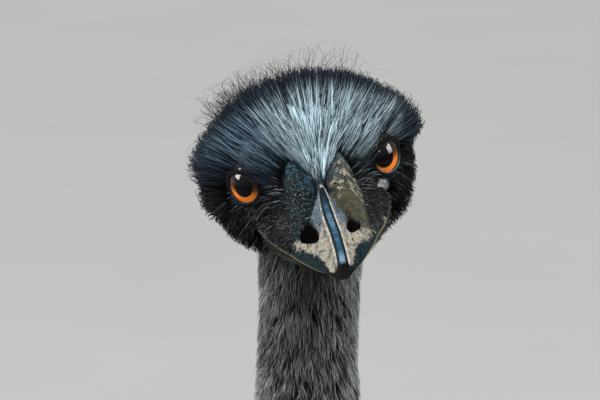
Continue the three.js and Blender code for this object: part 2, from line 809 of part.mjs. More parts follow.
const tailLocks = tailCoat();
const onTorso = [{ name: 'tail', form: tailForm, coat: tailLocks }];
for (const [side, word] of SIDES) {
  const wing = wingForm(side);
  onTorso.push({ name: `wing_${word}`, form: wing, coat: wingCoat(side, wing) });
  const thigh = thighForm(side);
  onTorso.push({ name: `thigh_${word}`, form: thigh, coat: thighCoat(thigh), foot: shankForm(side) });
}
for (const { name, form, coat, foot } of onTorso) {
  const whole = form.solid().add(coat.solid()).subtract(torsoGrown);
  addPiece(bird, name, foot ? whole.subtract(foot.solid(GAP)) : whole, MATERIALS.feather);
}

// Torso

const neighbours = [{ form: neckForm, coat: neckLocks }, ...onTorso];
const torsoLocks = torsoCoat(neighbours.map(({ form }) => form));
const keepClear = joined(neighbours.flatMap(({ form, coat }) => [form.solid(GAP), coat.solid(GAP)]));
const torso = torsoForm.solid().add(torsoLocks.solid().subtract(keepClear));
addPiece(bird, 'torso', torso, MATERIALS.feather);

// Legs and feet

for (const [side, word] of SIDES) {
  const shank = shankForm(side);
  addPiece(bird, `shank_${word}`, aboveFloor(shank.solid()), MATERIALS.leg);
  let taken = shank.solid(GAP);
  for (const toe of TOES) {
    const { toeForm, clawForm } = toeForms(side, toe);
    const grown = toeForm.solid(GAP);
    const claw = clawForm.solid().subtract(grown);
    addPiece(bird, `toe_${toe.name}_${word}`, aboveFloor(toeForm.solid().subtract(taken)), MATERIALS.leg);
    addPiece(bird, `claw_${toe.name}_${word}`, aboveFloor(claw), MATERIALS.claw);
    taken = taken.add(grown);
  }
}

// The origin is on the floor, under the middle of the whole bird's box
bird.position.set(0, ORIGIN_SHIFT, 0);

export default bird;
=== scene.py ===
"""An adult emu, dressed as a museum's still model: skin, feathers, bill, eyes, scaly legs and claws.

The bird stands at rest and faces -Y, so +X is its left side. Its forms are laid along lines of
stations in millimetres, and every finished piece is in metres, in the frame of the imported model.
"""

from __future__ import annotations

import logging
import math
from dataclasses import dataclass
from enum import Enum
from functools import cache
from typing import Callable, Sequence

import bpy
import numpy as np
from mathutils import Matrix, Vector

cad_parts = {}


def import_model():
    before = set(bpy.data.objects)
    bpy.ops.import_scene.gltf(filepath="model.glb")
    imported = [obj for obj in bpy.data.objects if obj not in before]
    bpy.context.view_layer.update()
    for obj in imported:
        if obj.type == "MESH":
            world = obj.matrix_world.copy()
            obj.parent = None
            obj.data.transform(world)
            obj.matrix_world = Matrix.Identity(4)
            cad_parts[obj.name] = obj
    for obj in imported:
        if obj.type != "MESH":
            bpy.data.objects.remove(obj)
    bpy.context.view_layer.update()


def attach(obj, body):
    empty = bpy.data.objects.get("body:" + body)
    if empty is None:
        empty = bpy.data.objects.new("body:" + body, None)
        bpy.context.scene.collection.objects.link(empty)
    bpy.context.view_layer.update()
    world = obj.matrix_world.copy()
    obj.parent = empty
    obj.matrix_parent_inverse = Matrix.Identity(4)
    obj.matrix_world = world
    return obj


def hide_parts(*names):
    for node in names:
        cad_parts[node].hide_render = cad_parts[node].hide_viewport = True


LOG = logging.getLogger("emu")
Array = np.ndarray
Colour = tuple[float, float, float]
Pull = Callable[[Array, Array, float], Array]
Test = Callable[[Array], Array]
SIDES = ((1, "left"), (-1, "right"))
MM = 0.001


@dataclass(frozen=True)
class Stance:
    """How the bird stands and holds its head, in millimetres and degrees."""

    eye_height: float = 1590.0
    head_y: float = -470.0
    yaw: float = 5.8
    pitch: float = 7.8
    roll: float = 11.8
    leg_spread: float = 100.0
    foot_out: float = 107.0
    foot_y: float = 52.0
    hock_y: float = 92.0
    hock_z: float = 425.0
    origin_shift: float = 52.6

    def head_in_bird(self) -> Array:
        """The head's own frame in the bird's, in millimetres.

        Returns:
            A 4 by 4 matrix.
        """
        turn = (
            Matrix.Rotation(math.radians(self.yaw), 4, "Z")
            @ Matrix.Rotation(math.radians(self.pitch), 4, "X")
            @ Matrix.Rotation(math.radians(-self.roll), 4, "Y")
        )
        return np.array(Matrix.Translation((0.0, self.head_y, self.eye_height)) @ turn)

    def to_world(self, frame: Array | None = None) -> Array:
        """From a frame in millimetres to the model's frame in metres.

        Args:
            frame: The frame in the bird's, or None for the bird's own.

        Returns:
            A 4 by 4 matrix.
        """
        shift = np.diag([MM, MM, MM, 1.0])
        shift[1, 3] = self.origin_shift * MM
        return shift if frame is None else shift @ frame


STANCE = Stance()
HEAD = STANCE.head_in_bird()


def moved(points: Array, matrix: Array) -> Array:
    """Points carried by a 4 by 4 matrix."""
    return (points.reshape(-1, 3) @ matrix[:3, :3].T + matrix[:3, 3]).reshape(points.shape)


def within(points: Array, frame: Array) -> Array:
    """Points in a frame's own coordinates."""
    return moved(points, np.linalg.inv(frame))


def unit(vectors: Array) -> Array:
    """Vectors at a length of one."""
    return vectors / np.maximum(np.linalg.norm(vectors, axis=-1, keepdims=True), 1e-9)


def dot(one: Array, other: Array) -> Array:
    """The dot products of two rows of vectors, as a column."""
    return np.sum(one * other, axis=-1, keepdims=True)


def smooth(value: Array | float, low: float, high: float) -> Array:
    """A soft step from 0 at low to 1 at high."""
    share = np.clip((np.asarray(value) - low) / (high - low), 0.0, 1.0)
    return share * share * (3.0 - 2.0 * share)


def bell(value: Array | float, middle: float, width: float) -> Array:
    """A soft bump of height 1 round a middle."""
    return np.exp(-(((np.asarray(value) - middle) / width) ** 2))


def soft_curve(knots: Array, steps: int) -> Array:
    """Rows on a centripetal Catmull-Rom curve through knots.

    Args:
        knots: One row for each knot.
        steps: The number of equal steps along it.

    Returns:
        steps + 1 rows.
    """
    before = 2 * knots[0] - knots[1]
    after = 2 * knots[-1] - knots[-2]
    row = np.vstack([before, knots, after])
    gaps = np.linalg.norm(np.diff(row, axis=0), axis=1) ** 0.5
    share = np.linspace(0, 1, steps + 1) * (len(knots) - 1)
    first = np.minimum(share.astype(int), len(knots) - 2)
    part = (share - first)[:, None]
    d0, d1, d2 = (gaps[first + k][:, None] for k in range(3))
    d1 = np.where(d1 < 1e-4, 1.0, d1)
    d0 = np.where(d0 < 1e-4, d1, d0)
    d2 = np.where(d2 < 1e-4, d1, d2)
    x0, x1, x2, x3 = (row[first + k] for k in range(4))
    m1 = ((x1 - x0) / d0 - (x2 - x0) / (d0 + d1) + (x2 - x1) / d1) * d1
    m2 = ((x2 - x1) / d1 - (x3 - x1) / (d1 + d2) + (x3 - x2) / d2) * d1
    bend = -3 * x1 + 3 * x2 - 2 * m1 - m2
    end = 2 * x1 - 2 * x2 + m1 + m2
    return x1 + m1 * part + bend * part**2 + end * part**3


@dataclass(frozen=True)
class Lie:
    """How a skin runs at places on it: along the form, round it, and straight out of it."""

    along: Array
    round: Array
    out: Array


class Surface:
    """A skin whose places are given by a share along it and an angle round it."""

    frame: Array = np.eye(4)
    sense: float = 1.0

    def point(self, t: Array, angle: Array, grow: Array | float = 0.0) -> Array:
        """Places on the skin, in the surface's own millimetres."""
        raise NotImplementedError

    def lie(self, t: Array, angle: Array) -> Lie:
        """How the skin runs at places on it.

        Args:
            t: Shares along the surface.
            angle: Angles round it, in radians.

        Returns:
            The directions along, round and out.
        """
        step = 2e-3
        low, high = np.maximum(t - step, 0.0), np.minimum(t + step, 1.0)
        along = (self.point(high, angle) - self.point(low, angle)) / (high - low)[:, None]
        around = (self.point(t, angle + step) - self.point(t, angle - step)) / (2 * step)
        return Lie(along, around, unit(np.cross(along, around)) * self.sense)


class Form(Surface):
    """A closed skin with rounded ends, laid along a line of stations."""

    STEPS = 500

    def __init__(
        self, stations: Sequence[Sequence[float]], start_round: float, end_round: float, frame: Array | None = None
    ) -> None:
        """Lays the form.

        Args:
            stations: Rows of x, y, z, half width, depth above and depth below.
            start_round: Length over which the start is rounded.
            end_round: Length over which the end is rounded.
            frame: The form's frame in the bird's, or None for the bird's own.
        """
        knots = np.array(stations, float)
        line = soft_curve(knots[:, :3], self.STEPS)
        along = unit(np.gradient(line, axis=0))
        side = unit(np.array([1.0, 0.0, 0.0]) - along * along[:, :1])
        sizes = soft_curve(knots[:, 3:], self.STEPS)
        self.table = np.hstack([line, along, side, np.cross(side, along), sizes])
        self.length = float(np.linalg.norm(np.diff(line, axis=0), axis=1).sum())
        self.start_round = start_round
        self.end_round = end_round
        self.frame = np.eye(4) if frame is None else frame

    def rows(self, t: Array) -> Array:
        """The line, axes and sizes at shares t of the line.

        Args:
            t: Shares along the line, from 0 to 1.

        Returns:
            Rows of the table, with a value between each two.
        """
        share = np.clip(t, 0.0, 1.0) * self.STEPS
        first = np.minimum(share.astype(int), self.STEPS - 1)
        part = (share - first)[:, None]
        return self.table[first] * (1 - part) + self.table[first + 1] * part

    def opening(self, t: Array) -> Array:
        """How far the section has opened, a quarter ellipse at each end."""
        start = np.clip(t * self.length / self.start_round, 0.0, 1.0)
        end = np.clip((1 - t) * self.length / self.end_round, 0.0, 1.0)
        return np.sqrt(1 - (1 - start) ** 2) * np.sqrt(1 - (1 - end) ** 2)

    def point(self, t: Array, angle: Array, grow: Array | float = 0.0) -> Array:
        """Places on the skin.

        Args:
            t: Shares along the line.
            angle: Angles round it from its left side upwards, in radians.
            grow: How far outside the skin they lie.

        Returns:
            Rows of x, y and z in the form's own millimetres.
        """
        row = self.rows(t)
        opening = self.opening(t)
        rise = np.sin(angle)
        depth = np.where(rise > 0, row[:, 13], row[:, 14])
        swell = grow * np.minimum(1.0, opening * 2)
        across = (row[:, 12] * opening + swell) * np.cos(angle)
        up = (depth * opening + swell) * rise
        ends = (grow * (2 * t - 1))[:, None] if np.ndim(grow) or grow else 0.0
        return row[:, :3] + row[:, 6:9] * across[:, None] + row[:, 9:12] * up[:, None] + row[:, 3:6] * ends

    def holds(self, places: Array, grow: float) -> Array:
        """Whether places of the bird's frame are inside the form, once it is grown.

        Args:
            places: Rows of x, y and z in the bird's millimetres.
            grow: How far the form is grown.

        Returns:
            A row of booleans.
        """
        own = within(places, self.frame)
        shares = np.linspace(0, 1, 61)
        line = self.rows(shares)
        reach = np.linalg.norm(own[:, None, :] - line[None, :, :3], axis=2)
        nearest = line[np.argmin(reach, axis=1)]
        away = own - nearest[:, :3]
        across = dot(away, nearest[:, 6:9])[:, 0] / (nearest[:, 12] + grow)
        rise = dot(away, nearest[:, 9:12])[:, 0]
        depth = np.where(rise > 0, nearest[:, 13], nearest[:, 14]) + grow
        past = dot(away, nearest[:, 3:6])[:, 0] / (self.length * 0.1)
        return across**2 + (rise / depth) ** 2 + past**2 < 1


class EmuForms:
    """The forms that the bird's skin, feathers and legs lie on."""

    def __init__(self) -> None:
        """Lays every form of the bird."""
        self.torso = Form(
            (
                (0, -345, 930, 62, 62, 80), (0, -280, 925, 122, 118, 145), (0, -170, 905, 168, 178, 195),
                (0, -20, 890, 192, 205, 215), (0, 130, 875, 188, 198, 200), (0, 265, 850, 152, 158, 165),
                (0, 350, 820, 100, 95, 105),
            ), 80, 55,
        )
        self.neck = Form(
            (
                (0, -205, 975, 112, 100, 100), (0, -258, 1060, 82, 76, 80), (-3, -316, 1148, 50, 50, 54),
                (-5, -372, 1245, 35, 38, 40), (-5, -412, 1350, 30, 33, 33), (-4, -430, 1440, 27, 30, 30),
                (-3, -432, 1500, 25, 31, 31), (-2, -434, 1538, 26.5, 33, 31), (-1, -436, 1575, 32, 28, 33),
            ), 60, 22,
        )
        self.tail = Form(
            (
                (0, 270, 868, 104, 84, 100), (0, 345, 822, 98, 72, 84), (0, 388, 762, 74, 50, 60),
                (0, 404, 712, 42, 28, 34),
            ), 60, 40,
        )
        self.skull = Form(
            (
                (0, -46, -7, 10, 7, 14), (0, -30, -9, 23.5, 17, 23), (0, -12, -10, 35, 31, 29),
                (0, 4, -10, 43, 39, 34), (0, 24, -12, 56, 45, 42), (0, 46, -14, 52, 40, 42),
                (0, 70, -18, 34, 28, 32),
            ), 16, 40, HEAD,
        )
        self.jaw = Form(
            (
                (0, 12, -31, 35, 10, 12), (0, -10, -31, 34, 9, 12), (0, -36, -30, 25.5, 6.5, 12),
                (0, -58, -29.5, 17, 4.2, 12), (0, -74, -29, 10, 3, 12), (0, -86, -28, 4.5, 2.2, 12),
            ), 8, 10, HEAD,
        )
        self.wings = {word: self.wing(side) for side, word in SIDES}
        self.thighs = {word: self.thigh(side) for side, word in SIDES}
        self.shanks = {word: self.shank(side) for side, word in SIDES}

    def wing(self, side: int) -> Form:
        """A small wing along one flank, under the coat.

        Args:
            side: 1 for the bird's left, -1 for its right.

        Returns:
            The form.
        """
        rows = []
        for t, turn, out, *sizes in (
            (0.25, 0.42, -8, 12, 18, 22), (0.33, 0.34, -2, 13, 24, 28), (0.42, 0.2, -1, 12, 20, 24),
            (0.5, 0.08, -3, 9, 13, 16),
        ):
            angle = turn if side > 0 else math.pi - turn
            rows.append((*self.torso.point(np.array([t]), np.array([angle]), out)[0], *sizes))
        return Form(rows, 40, 50)

    def thigh(self, side: int) -> Form:
        """The feathered upper leg of one side, down to the hock."""
        out, y = STANCE.leg_spread, STANCE.hock_y
        return Form(
            (
                (side * (out - 6), y - 140, 760, 60, 78, 78), (side * (out - 4), y - 110, 660, 52, 66, 66),
                (side * (out - 1), y - 62, 565, 38, 45, 45), (side * out, y - 22, 490, 27, 29, 29),
                (side * out, y - 2, STANCE.hock_z + 16, 23, 25, 25),
            ), 30, 14,
        )

    def shank(self, side: int) -> Form:
        """The scaly lower leg of one side, from the hock to under the foot."""
        out, y, foot = STANCE.leg_spread, STANCE.hock_y, STANCE.foot_y
        return Form(
            (
                (side * out, y + 2, STANCE.hock_z + 26, 23, 25, 26), (side * out, y, STANCE.hock_z - 10, 27, 27, 30),
                (side * (out + 2), y - 8, 345, 18, 20, 22), (side * (out + 4), y - 18, 220, 15.5, 17, 19),
                (side * (out + 6), foot + 12, 110, 17, 19, 20), (side * (out + 7), foot + 4, 55, 23, 24, 24),
                (side * (out + 7), foot, 14, 25, 25, 27), (side * (out + 7), foot, -12, 24, 23, 25),
            ), 18, 12,
        )


@dataclass(frozen=True)
class Toe:
    """One toe of a foot, in millimetres, with its splay outwards in degrees."""

    name: str
    length: float
    wide: float
    high: float
    splay: float
    claw: float

    def reach(self, side: int, ahead: float, up: float) -> tuple[float, float, float]:
        """A place over the toe's line, a distance ahead of the middle of the foot."""
        turn = math.radians(self.splay) * side
        start = (side * STANCE.foot_out, STANCE.foot_y)
        return (start[0] + math.sin(turn) * ahead, start[1] - math.cos(turn) * ahead, up)

    def form(self, side: int) -> Form:
        """The toe's own form."""
        long, wide, high = self.length, self.wide, self.high
        return Form(
            (
                (*self.reach(side, 0, 8), wide, high, 14),
                (*self.reach(side, long * 0.35, 7), wide * 0.95, high * 0.72, 12),
                (*self.reach(side, long * 0.7, 6), wide * 0.86, high * 0.56, 10),
                (*self.reach(side, long, 5), wide * 0.66, high * 0.4, 9),
            ), 10, 16,
        )

    def claw_form(self, side: int) -> Form:
        """The form of the claw at its end."""
        long, wide, high = self.length, self.wide, self.high
        return Form(
            (
                (*self.reach(side, long * 0.9, 9), wide * 0.42, high * 0.26, 6),
                (*self.reach(side, long, 8), wide * 0.4, high * 0.24, 6),
                (*self.reach(side, long + self.claw * 0.6, 6), wide * 0.25, high * 0.16, 4),
                (*self.reach(side, long + self.claw, 2.5), wide * 0.12, 1.6, 1.6),
            ), 6, 5,
        )


TOES = (
    Toe("middle", 150, 17, 30, 0, 27),
    Toe("inner", 92, 13, 25, -33, 21),
    Toe("outer", 98, 13, 25, 35, 21),
)


class BillForm(Surface):
    """The upper bill: a narrow ridge over flanks that fall to the cutting edge, with two nostrils."""

    frame = HEAD
    sense = -1.0
    START, LENGTH = -8.0, 101.0
    GAPE = -24.5
    TIP_ROUND = 9.0
    RIDGE_HIGH = 4.4
    GROOVE = 1.6
    NAIL_START, HOOK = 92.0, 3.6
    DIP = 1.5
    NOSTRIL = {"across": 11.4, "ahead": 59.0, "inner": 8.2, "rear": 54.2, "outer": 17.4, "deep": 9.0}
    FLAP = {"across": 13.6, "ahead": 48.5, "wide": 5.6, "long": 8.6, "high": 2.8}
    EDGE = (
        (-10, 10, 25, 40, 55, 62, 68, 75, 82, 88, 93, 97, 101),
        (37, 36, 33.5, 29.5, 23.6, 21, 18.4, 15.4, 12.8, 10.4, 7.6, 5.0, 3.2),
    )
    RIDGE = ((-10, 20, 30, 38, 60, 80, 92, 101), (16, 10.5, 7.5, 4, -5.5, -14.5, -20, -25.5))
    RIDGE_HALF = ((36, 40, 46, 58, 88, 101), (0.4, 1.4, 2.1, 2.65, 2.7, 3.0))
    RIDGE_LEAN = ((50, 59, 71, 84, 95, 101), (0.0, 0.2, 1.2, 1.5, 1.0, 0.3))
    HORN_LEFT = ((0, 4, 5, 8, 9, 10, 13, 16, 20.5, 26, 31), (38, 42, 44, 51, 56, 63, 63.5, 61, 56, 44.5, 34))
    HORN_RIGHT = ((0, 4, 5, 8, 10.5, 12.5, 17, 21.5, 24, 33), (38, 42, 44, 50, 55, 62, 57.5, 54, 62, 64))
    BARE_FRONT = ((0, 2, 5, 7.5, 11, 15, 18.5, 20), (33, 29.5, 26, 22, 17.5, 16.5, 19, 27))

    def __init__(self) -> None:
        """Smooths the outlines."""
        self.edge = self.smoothed(self.EDGE)
        self.ridge = self.smoothed(self.RIDGE)

    @staticmethod
    def smoothed(outline: tuple[Sequence[float], Sequence[float]]) -> Array:
        """A soft curve through an outline, as two rows."""
        return soft_curve(np.array(outline, float).T, 200).T

    def half(self, ahead: Array) -> Array:
        """Half width at the cutting edge."""
        return np.interp(ahead, *self.edge)

    def nail(self, ahead: Array) -> Array:
        """How far the bill has turned into its hooked nail."""
        return smooth(ahead, self.NAIL_START, self.LENGTH)

    def gape(self, ahead: Array) -> Array:
        """Height of the line of the mouth."""
        return self.GAPE - self.DIP * bell(ahead, 74.0, 16.0)

    def from_ridge(self, ahead: Array, out: Array) -> Array:
        """Distance from the middle of the ridge, which leans a little to the left."""
        return np.abs(out - np.interp(ahead, *self.RIDGE_LEAN))

    def bare(self, ahead: Array, out: Array) -> Array:
        """Whether places are on the bare skin that reaches up from the bill to the forehead.

        Args:
            ahead: Distances ahead of the eyes.
            out: Distances from the middle.

        Returns:
            A row of booleans.
        """
        wide = np.abs(out)
        front = np.interp(wide, *self.BARE_FRONT) + np.where(out > 0, 2.5, 0.0)
        return (wide < 20.0) & (ahead > front)

    def pit(self, ahead: Array, out: Array, grow: float = 1.0) -> Array:
        """How deep in a nostril a place is, from 0 outside it to 1 on its floor.

        The opening has three sides: an upright inner one, one behind and a slanting outer one.

        Args:
            ahead: Distances ahead of the eyes.
            out: Distances from the middle.
            grow: How many times larger the nostril is taken.

        Returns:
            The depth shares.
        """
        size = self.NOSTRIL
        across, along = np.abs(out) - size["across"], ahead - size["ahead"]
        inner = -across / (size["across"] - size["inner"])
        rear = -along / (size["ahead"] - size["rear"])
        outer = (across + 0.9 * along) / (size["outer"] - size["across"]) * 1.25
        corner = (across - 0.9 * along) / 11.0
        sides = np.maximum(np.stack([inner, rear, outer, corner]) + 0.4, 0.0) / (1.4 * grow)
        narrow = np.where(out < 0, 0.74, 0.9)
        open_way = 1 - smooth(np.sqrt(np.sum(sides**2, axis=0)) * narrow, 0.76, 1.0)
        return open_way * (1 - smooth(self.flap(ahead, out), 0.0, 0.35))

    def flap(self, ahead: Array, out: Array) -> Array:
        """The height share of the soft flap that half covers the left nostril from behind."""
        size = self.FLAP
        reach = ((out - size["across"]) / size["wide"]) ** 2 + ((ahead - size["ahead"]) / size["long"]) ** 2
        return np.sqrt(np.maximum(0.0, 1 - reach))

    def top(self, ahead: Array, share: Array) -> Array:
        """Height of the bill's top.

        Args:
            ahead: Distances ahead of the eyes.
            share: Shares from the ridge, at 0, to an edge, at -1 or 1.

        Returns:
            Heights above the eyes.
        """
        nail = self.nail(ahead)
        wide = np.abs(share)
        ridge_high = self.RIDGE_HIGH * (1 - 0.6 * nail)
        gape = self.gape(ahead)
        roof = np.interp(ahead, *self.ridge) - ridge_high - gape
        flank = roof * (1 - np.minimum(wide, 1) ** 2.3) ** 0.85
        out = wide * self.half(ahead)
        half = np.interp(ahead, *self.RIDGE_HALF)
        off = self.from_ridge(ahead, share * self.half(ahead)) / (half + 0.9)
        ridge = ridge_high * np.exp(-(off**4) * 0.5) * (1 - wide**4)
        groove = self.GROOVE * (1 - nail) * bell(off, 2.1, 0.9) * (1 - wide**2)
        bulb = 5.0 * bell(out, 14.0, 6.5) * bell(ahead, 34.0, 13.0)
        bulb = bulb + 8.0 * bell(out, 12.5, 6.0) * bell(ahead, 17.0, 8.5)
        hood = np.where(share < 0, 2.2 * bell(out, 12.5, 5.5) * bell(ahead, 49.0, 5.0), 0.0)
        hood = hood + self.FLAP["high"] * self.flap(ahead, share * self.half(ahead))
        folds = np.sin(out * 1.9 + ahead * 0.9 + 1.3 * np.sin(ahead * 0.7)) + np.sin(ahead * 1.7 - out * 0.8)
        folds = 0.34 * folds * bell(out, 13.0, 8.0) * bell(ahead, 30.0, 15.0) * np.where(share < 0, 1.0, 0.5)
        return gape + flank + ridge - groove + bulb + hood + folds

    def point(self, t: Array, angle: Array, grow: Array | float = 0.0) -> Array:
        """Places on the bill's skin.

        Args:
            t: Shares from its start to its tip.
            angle: Angles round it from its left edge upwards, in radians.
            grow: How far outside the skin they lie.

        Returns:
            Rows of x, y and z in the head's own millimetres.
        """
        ahead = self.START + (self.LENGTH - self.START) * t
        across = np.cos(angle)
        share = np.sign(across) * np.abs(across) ** 1.5
        from_tip = np.clip((self.LENGTH - ahead) / self.TIP_ROUND, 0, 1)
        opening = np.minimum(1, t * 12) * np.sqrt(1 - (1 - from_tip) ** 2)
        nail = self.nail(ahead)
        floor = self.gape(ahead) - self.HOOK * nail + (1 - opening) * 2
        top = self.top(ahead, share) - self.HOOK * nail * 0.4
        out = (self.half(ahead) + grow) * opening * share
        above = np.sin(angle) > 1e-6
        up = np.where(above, floor + (top - floor) * opening + grow, floor - grow)
        up = np.where(above, up - self.NOSTRIL["deep"] * self.pit(ahead, out), up)
        return np.stack([out, -ahead, up], axis=1)

    def covers(self, places: Array) -> Array:
        """Whether places of the head's frame are under the bill's skin.

        Args:
            places: Rows of x, y and z in the head's millimetres.

        Returns:
            A row of booleans.
        """
        ahead = -places[:, 1]
        share = places[:, 0] / self.half(ahead)
        inside = (np.abs(share) < 1) & (ahead > self.START) & (ahead < self.LENGTH)
        return inside & (places[:, 2] < self.top(ahead, np.clip(share, -1, 1)) - 0.3)

    def horn(self, ahead: Array, out: Array) -> Array:
        """How far ahead of the edge of the skin a place is on the bare horn, in millimetres."""
        left, right = np.interp(out, *self.HORN_LEFT), np.interp(-out, *self.HORN_RIGHT)
        return ahead - np.where(out > 0, left, right)


@dataclass(frozen=True)
class EyeSize:
    """An eye and its lids, in the head's millimetres and degrees."""

    radius: float = 14.6
    out: float = 31.6
    up: float = 1.0
    look: float = 46.0
    gaze_left: float = 26.0
    gaze_right: float = 36.0
    wide: float = 10.2
    high: float = 7.9
    iris_up: float = 1.7

    def frame(self, side: int, look: float | None = None) -> Array:
        """The eye's own frame in the head's. It looks along its -Y."""
        turn = math.radians(side * (self.look if look is None else look))
        place = Matrix.Translation((side * self.out, 0.0, self.up))
        return np.array(place @ Matrix.Rotation(turn, 4, "Z"))


EYE = EyeSize()


# Working in Blender


def deselect() -> None:
    """Takes everything out of the selection."""
    bpy.ops.object.select_all(action="DESELECT")


def choose(piece: bpy.types.Object) -> None:
    """Selects one object and makes it the active one."""
    deselect()
    piece.select_set(True)
    bpy.context.view_layer.objects.active = piece


def added(name: str) -> bpy.types.Object:
    """The primitive or join that was just made, under its name."""
    piece = bpy.context.object
    piece.name = piece.data.name = name
    return piece


def placed(name: str, data: bpy.types.ID) -> bpy.types.Object:
    """A new object in the scene."""
    thing = bpy.data.objects.new(name, data)
    bpy.context.scene.collection.objects.link(thing)
    return thing


def ball(name: str, segments: int, rings: int) -> bpy.types.Object:
    """A round ball to shape a piece from, with its faces round it and along it.

    Args:
        name: The piece's name.
        segments: Faces round it.
        rings: Faces along it.

    Returns:
        The new object.
    """
    deselect()
    bpy.ops.mesh.primitive_uv_sphere_add(segments=segments, ring_count=rings, radius=1.0)
    return added(name)


def corners(piece: bpy.types.Object) -> Array:
    """The places of a mesh's corners."""
    places = np.empty(len(piece.data.vertices) * 3)
    piece.data.vertices.foreach_get("co", places)
    return places.reshape(-1, 3)


def set_corners(piece: bpy.types.Object, places: Array) -> None:
    """Moves a mesh's corners."""
    piece.data.vertices.foreach_set("co", places.ravel())
    piece.data.update()


def finish_mesh(piece: bpy.types.Object) -> None:
    """Turns a piece's faces outwards and shades them smooth."""
    choose(piece)
    bpy.ops.object.mode_set(mode="EDIT")
    bpy.ops.mesh.select_all(action="SELECT")
    bpy.ops.mesh.normals_make_consistent(inside=False)
    bpy.ops.object.mode_set(mode="OBJECT")
    bpy.ops.object.shade_smooth()


def modified(piece: bpy.types.Object, kind: str, **settings: object) -> None:
    """Adds a modifier to a piece and applies it.

    Args:
        piece: The object.
        kind: The modifier's type.
        **settings: Its settings.
    """
    choose(piece)
    modifier = piece.modifiers.new(kind.title(), kind)
    for key, value in settings.items():
        setattr(modifier, key, value)
    bpy.ops.object.modifier_apply(modifier=modifier.name)


def joined(pieces: Sequence[bpy.types.Object], name: str) -> bpy.types.Object:
    """Makes one object of several.

    Args:
        pieces: The objects.
        name: Its name.

    Returns:
        The new object.
    """
    choose(pieces[0])
    for piece in pieces:
        piece.select_set(True)
    bpy.ops.object.join()
    return added(name)


def fused(parts: Sequence[bpy.types.Object], name: str, step: float, rounds: int) -> bpy.types.Object:
    """Melts forms into one skin.

    Args:
        parts: The forms.
        name: The skin's name.
        step: The size of its faces, in millimetres.
        rounds: How many times it is smoothed.

    Returns:
        The skin.
    """
    whole = joined(parts, name)
    modified(whole, "REMESH", mode="VOXEL", voxel_size=step * MM, use_smooth_shade=True)
    modified(whole, "SMOOTH", factor=0.5, iterations=rounds)
    return whole


def shaped(name: str, surface: Surface, segments: int, rings: int, grow: Array | float = 0.0) -> bpy.types.Object:
    """A ball drawn over a surface, in metres.

    Args:
        name: The piece's name.
        surface: The surface that it takes the shape of.
        segments: Faces round it.
        rings: Faces along it.
        grow: How far outside the surface it lies, or a function of the share along it.

    Returns:
        The new object.
    """
    piece = ball(name, segments, rings)
    start = corners(piece)
    t = (1 - start[:, 2]) / 2
    pole = (t < 1e-6) | (t > 1 - 1e-6)
    angle = np.where(pole, 0.0, np.arctan2(start[:, 1], start[:, 0]) % (2 * math.pi))
    depth = grow(t) if callable(grow) else grow
    set_corners(piece, moved(surface.point(t, angle, depth), STANCE.to_world(surface.frame)))
    return piece


def attribute(piece: bpy.types.Object, name: str, values: Array) -> None:
    """Stores a value for each corner of a mesh."""
    layer = piece.data.attributes.new(name, "FLOAT", "POINT")
    layer.data.foreach_set("value", np.ascontiguousarray(values, np.float32))


def in_head(piece: bpy.types.Object) -> Array:
    """The corners of a piece in the head's own millimetres."""
    return within(corners(piece), STANCE.to_world(HEAD))


def set_in_head(piece: bpy.types.Object, own: Array) -> None:
    """Moves a piece's corners to places in the head's own millimetres."""
    set_corners(piece, moved(own, STANCE.to_world(HEAD)))


def stand(piece: bpy.types.Object) -> None:
    """Flattens a piece where it stands on the floor."""
    places = corners(piece)
    places[:, 2] = np.maximum(places[:, 2], 0.0)
    set_corners(piece, places)


def dress(piece: bpy.types.Object, material: bpy.types.Material, nodes: Sequence[str] = ()) -> None:
    """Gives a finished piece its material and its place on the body.

    Args:
        piece: The object.
        material: Its material.
        nodes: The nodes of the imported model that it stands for.
    """
    piece.data.materials.clear()
    piece.data.materials.append(material)
    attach(piece, "root")
    if nodes:
        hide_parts(*nodes)
    LOG.info("%s: %d triangles", piece.name, sum(len(face.vertices) - 2 for face in piece.data.polygons))


# Materials


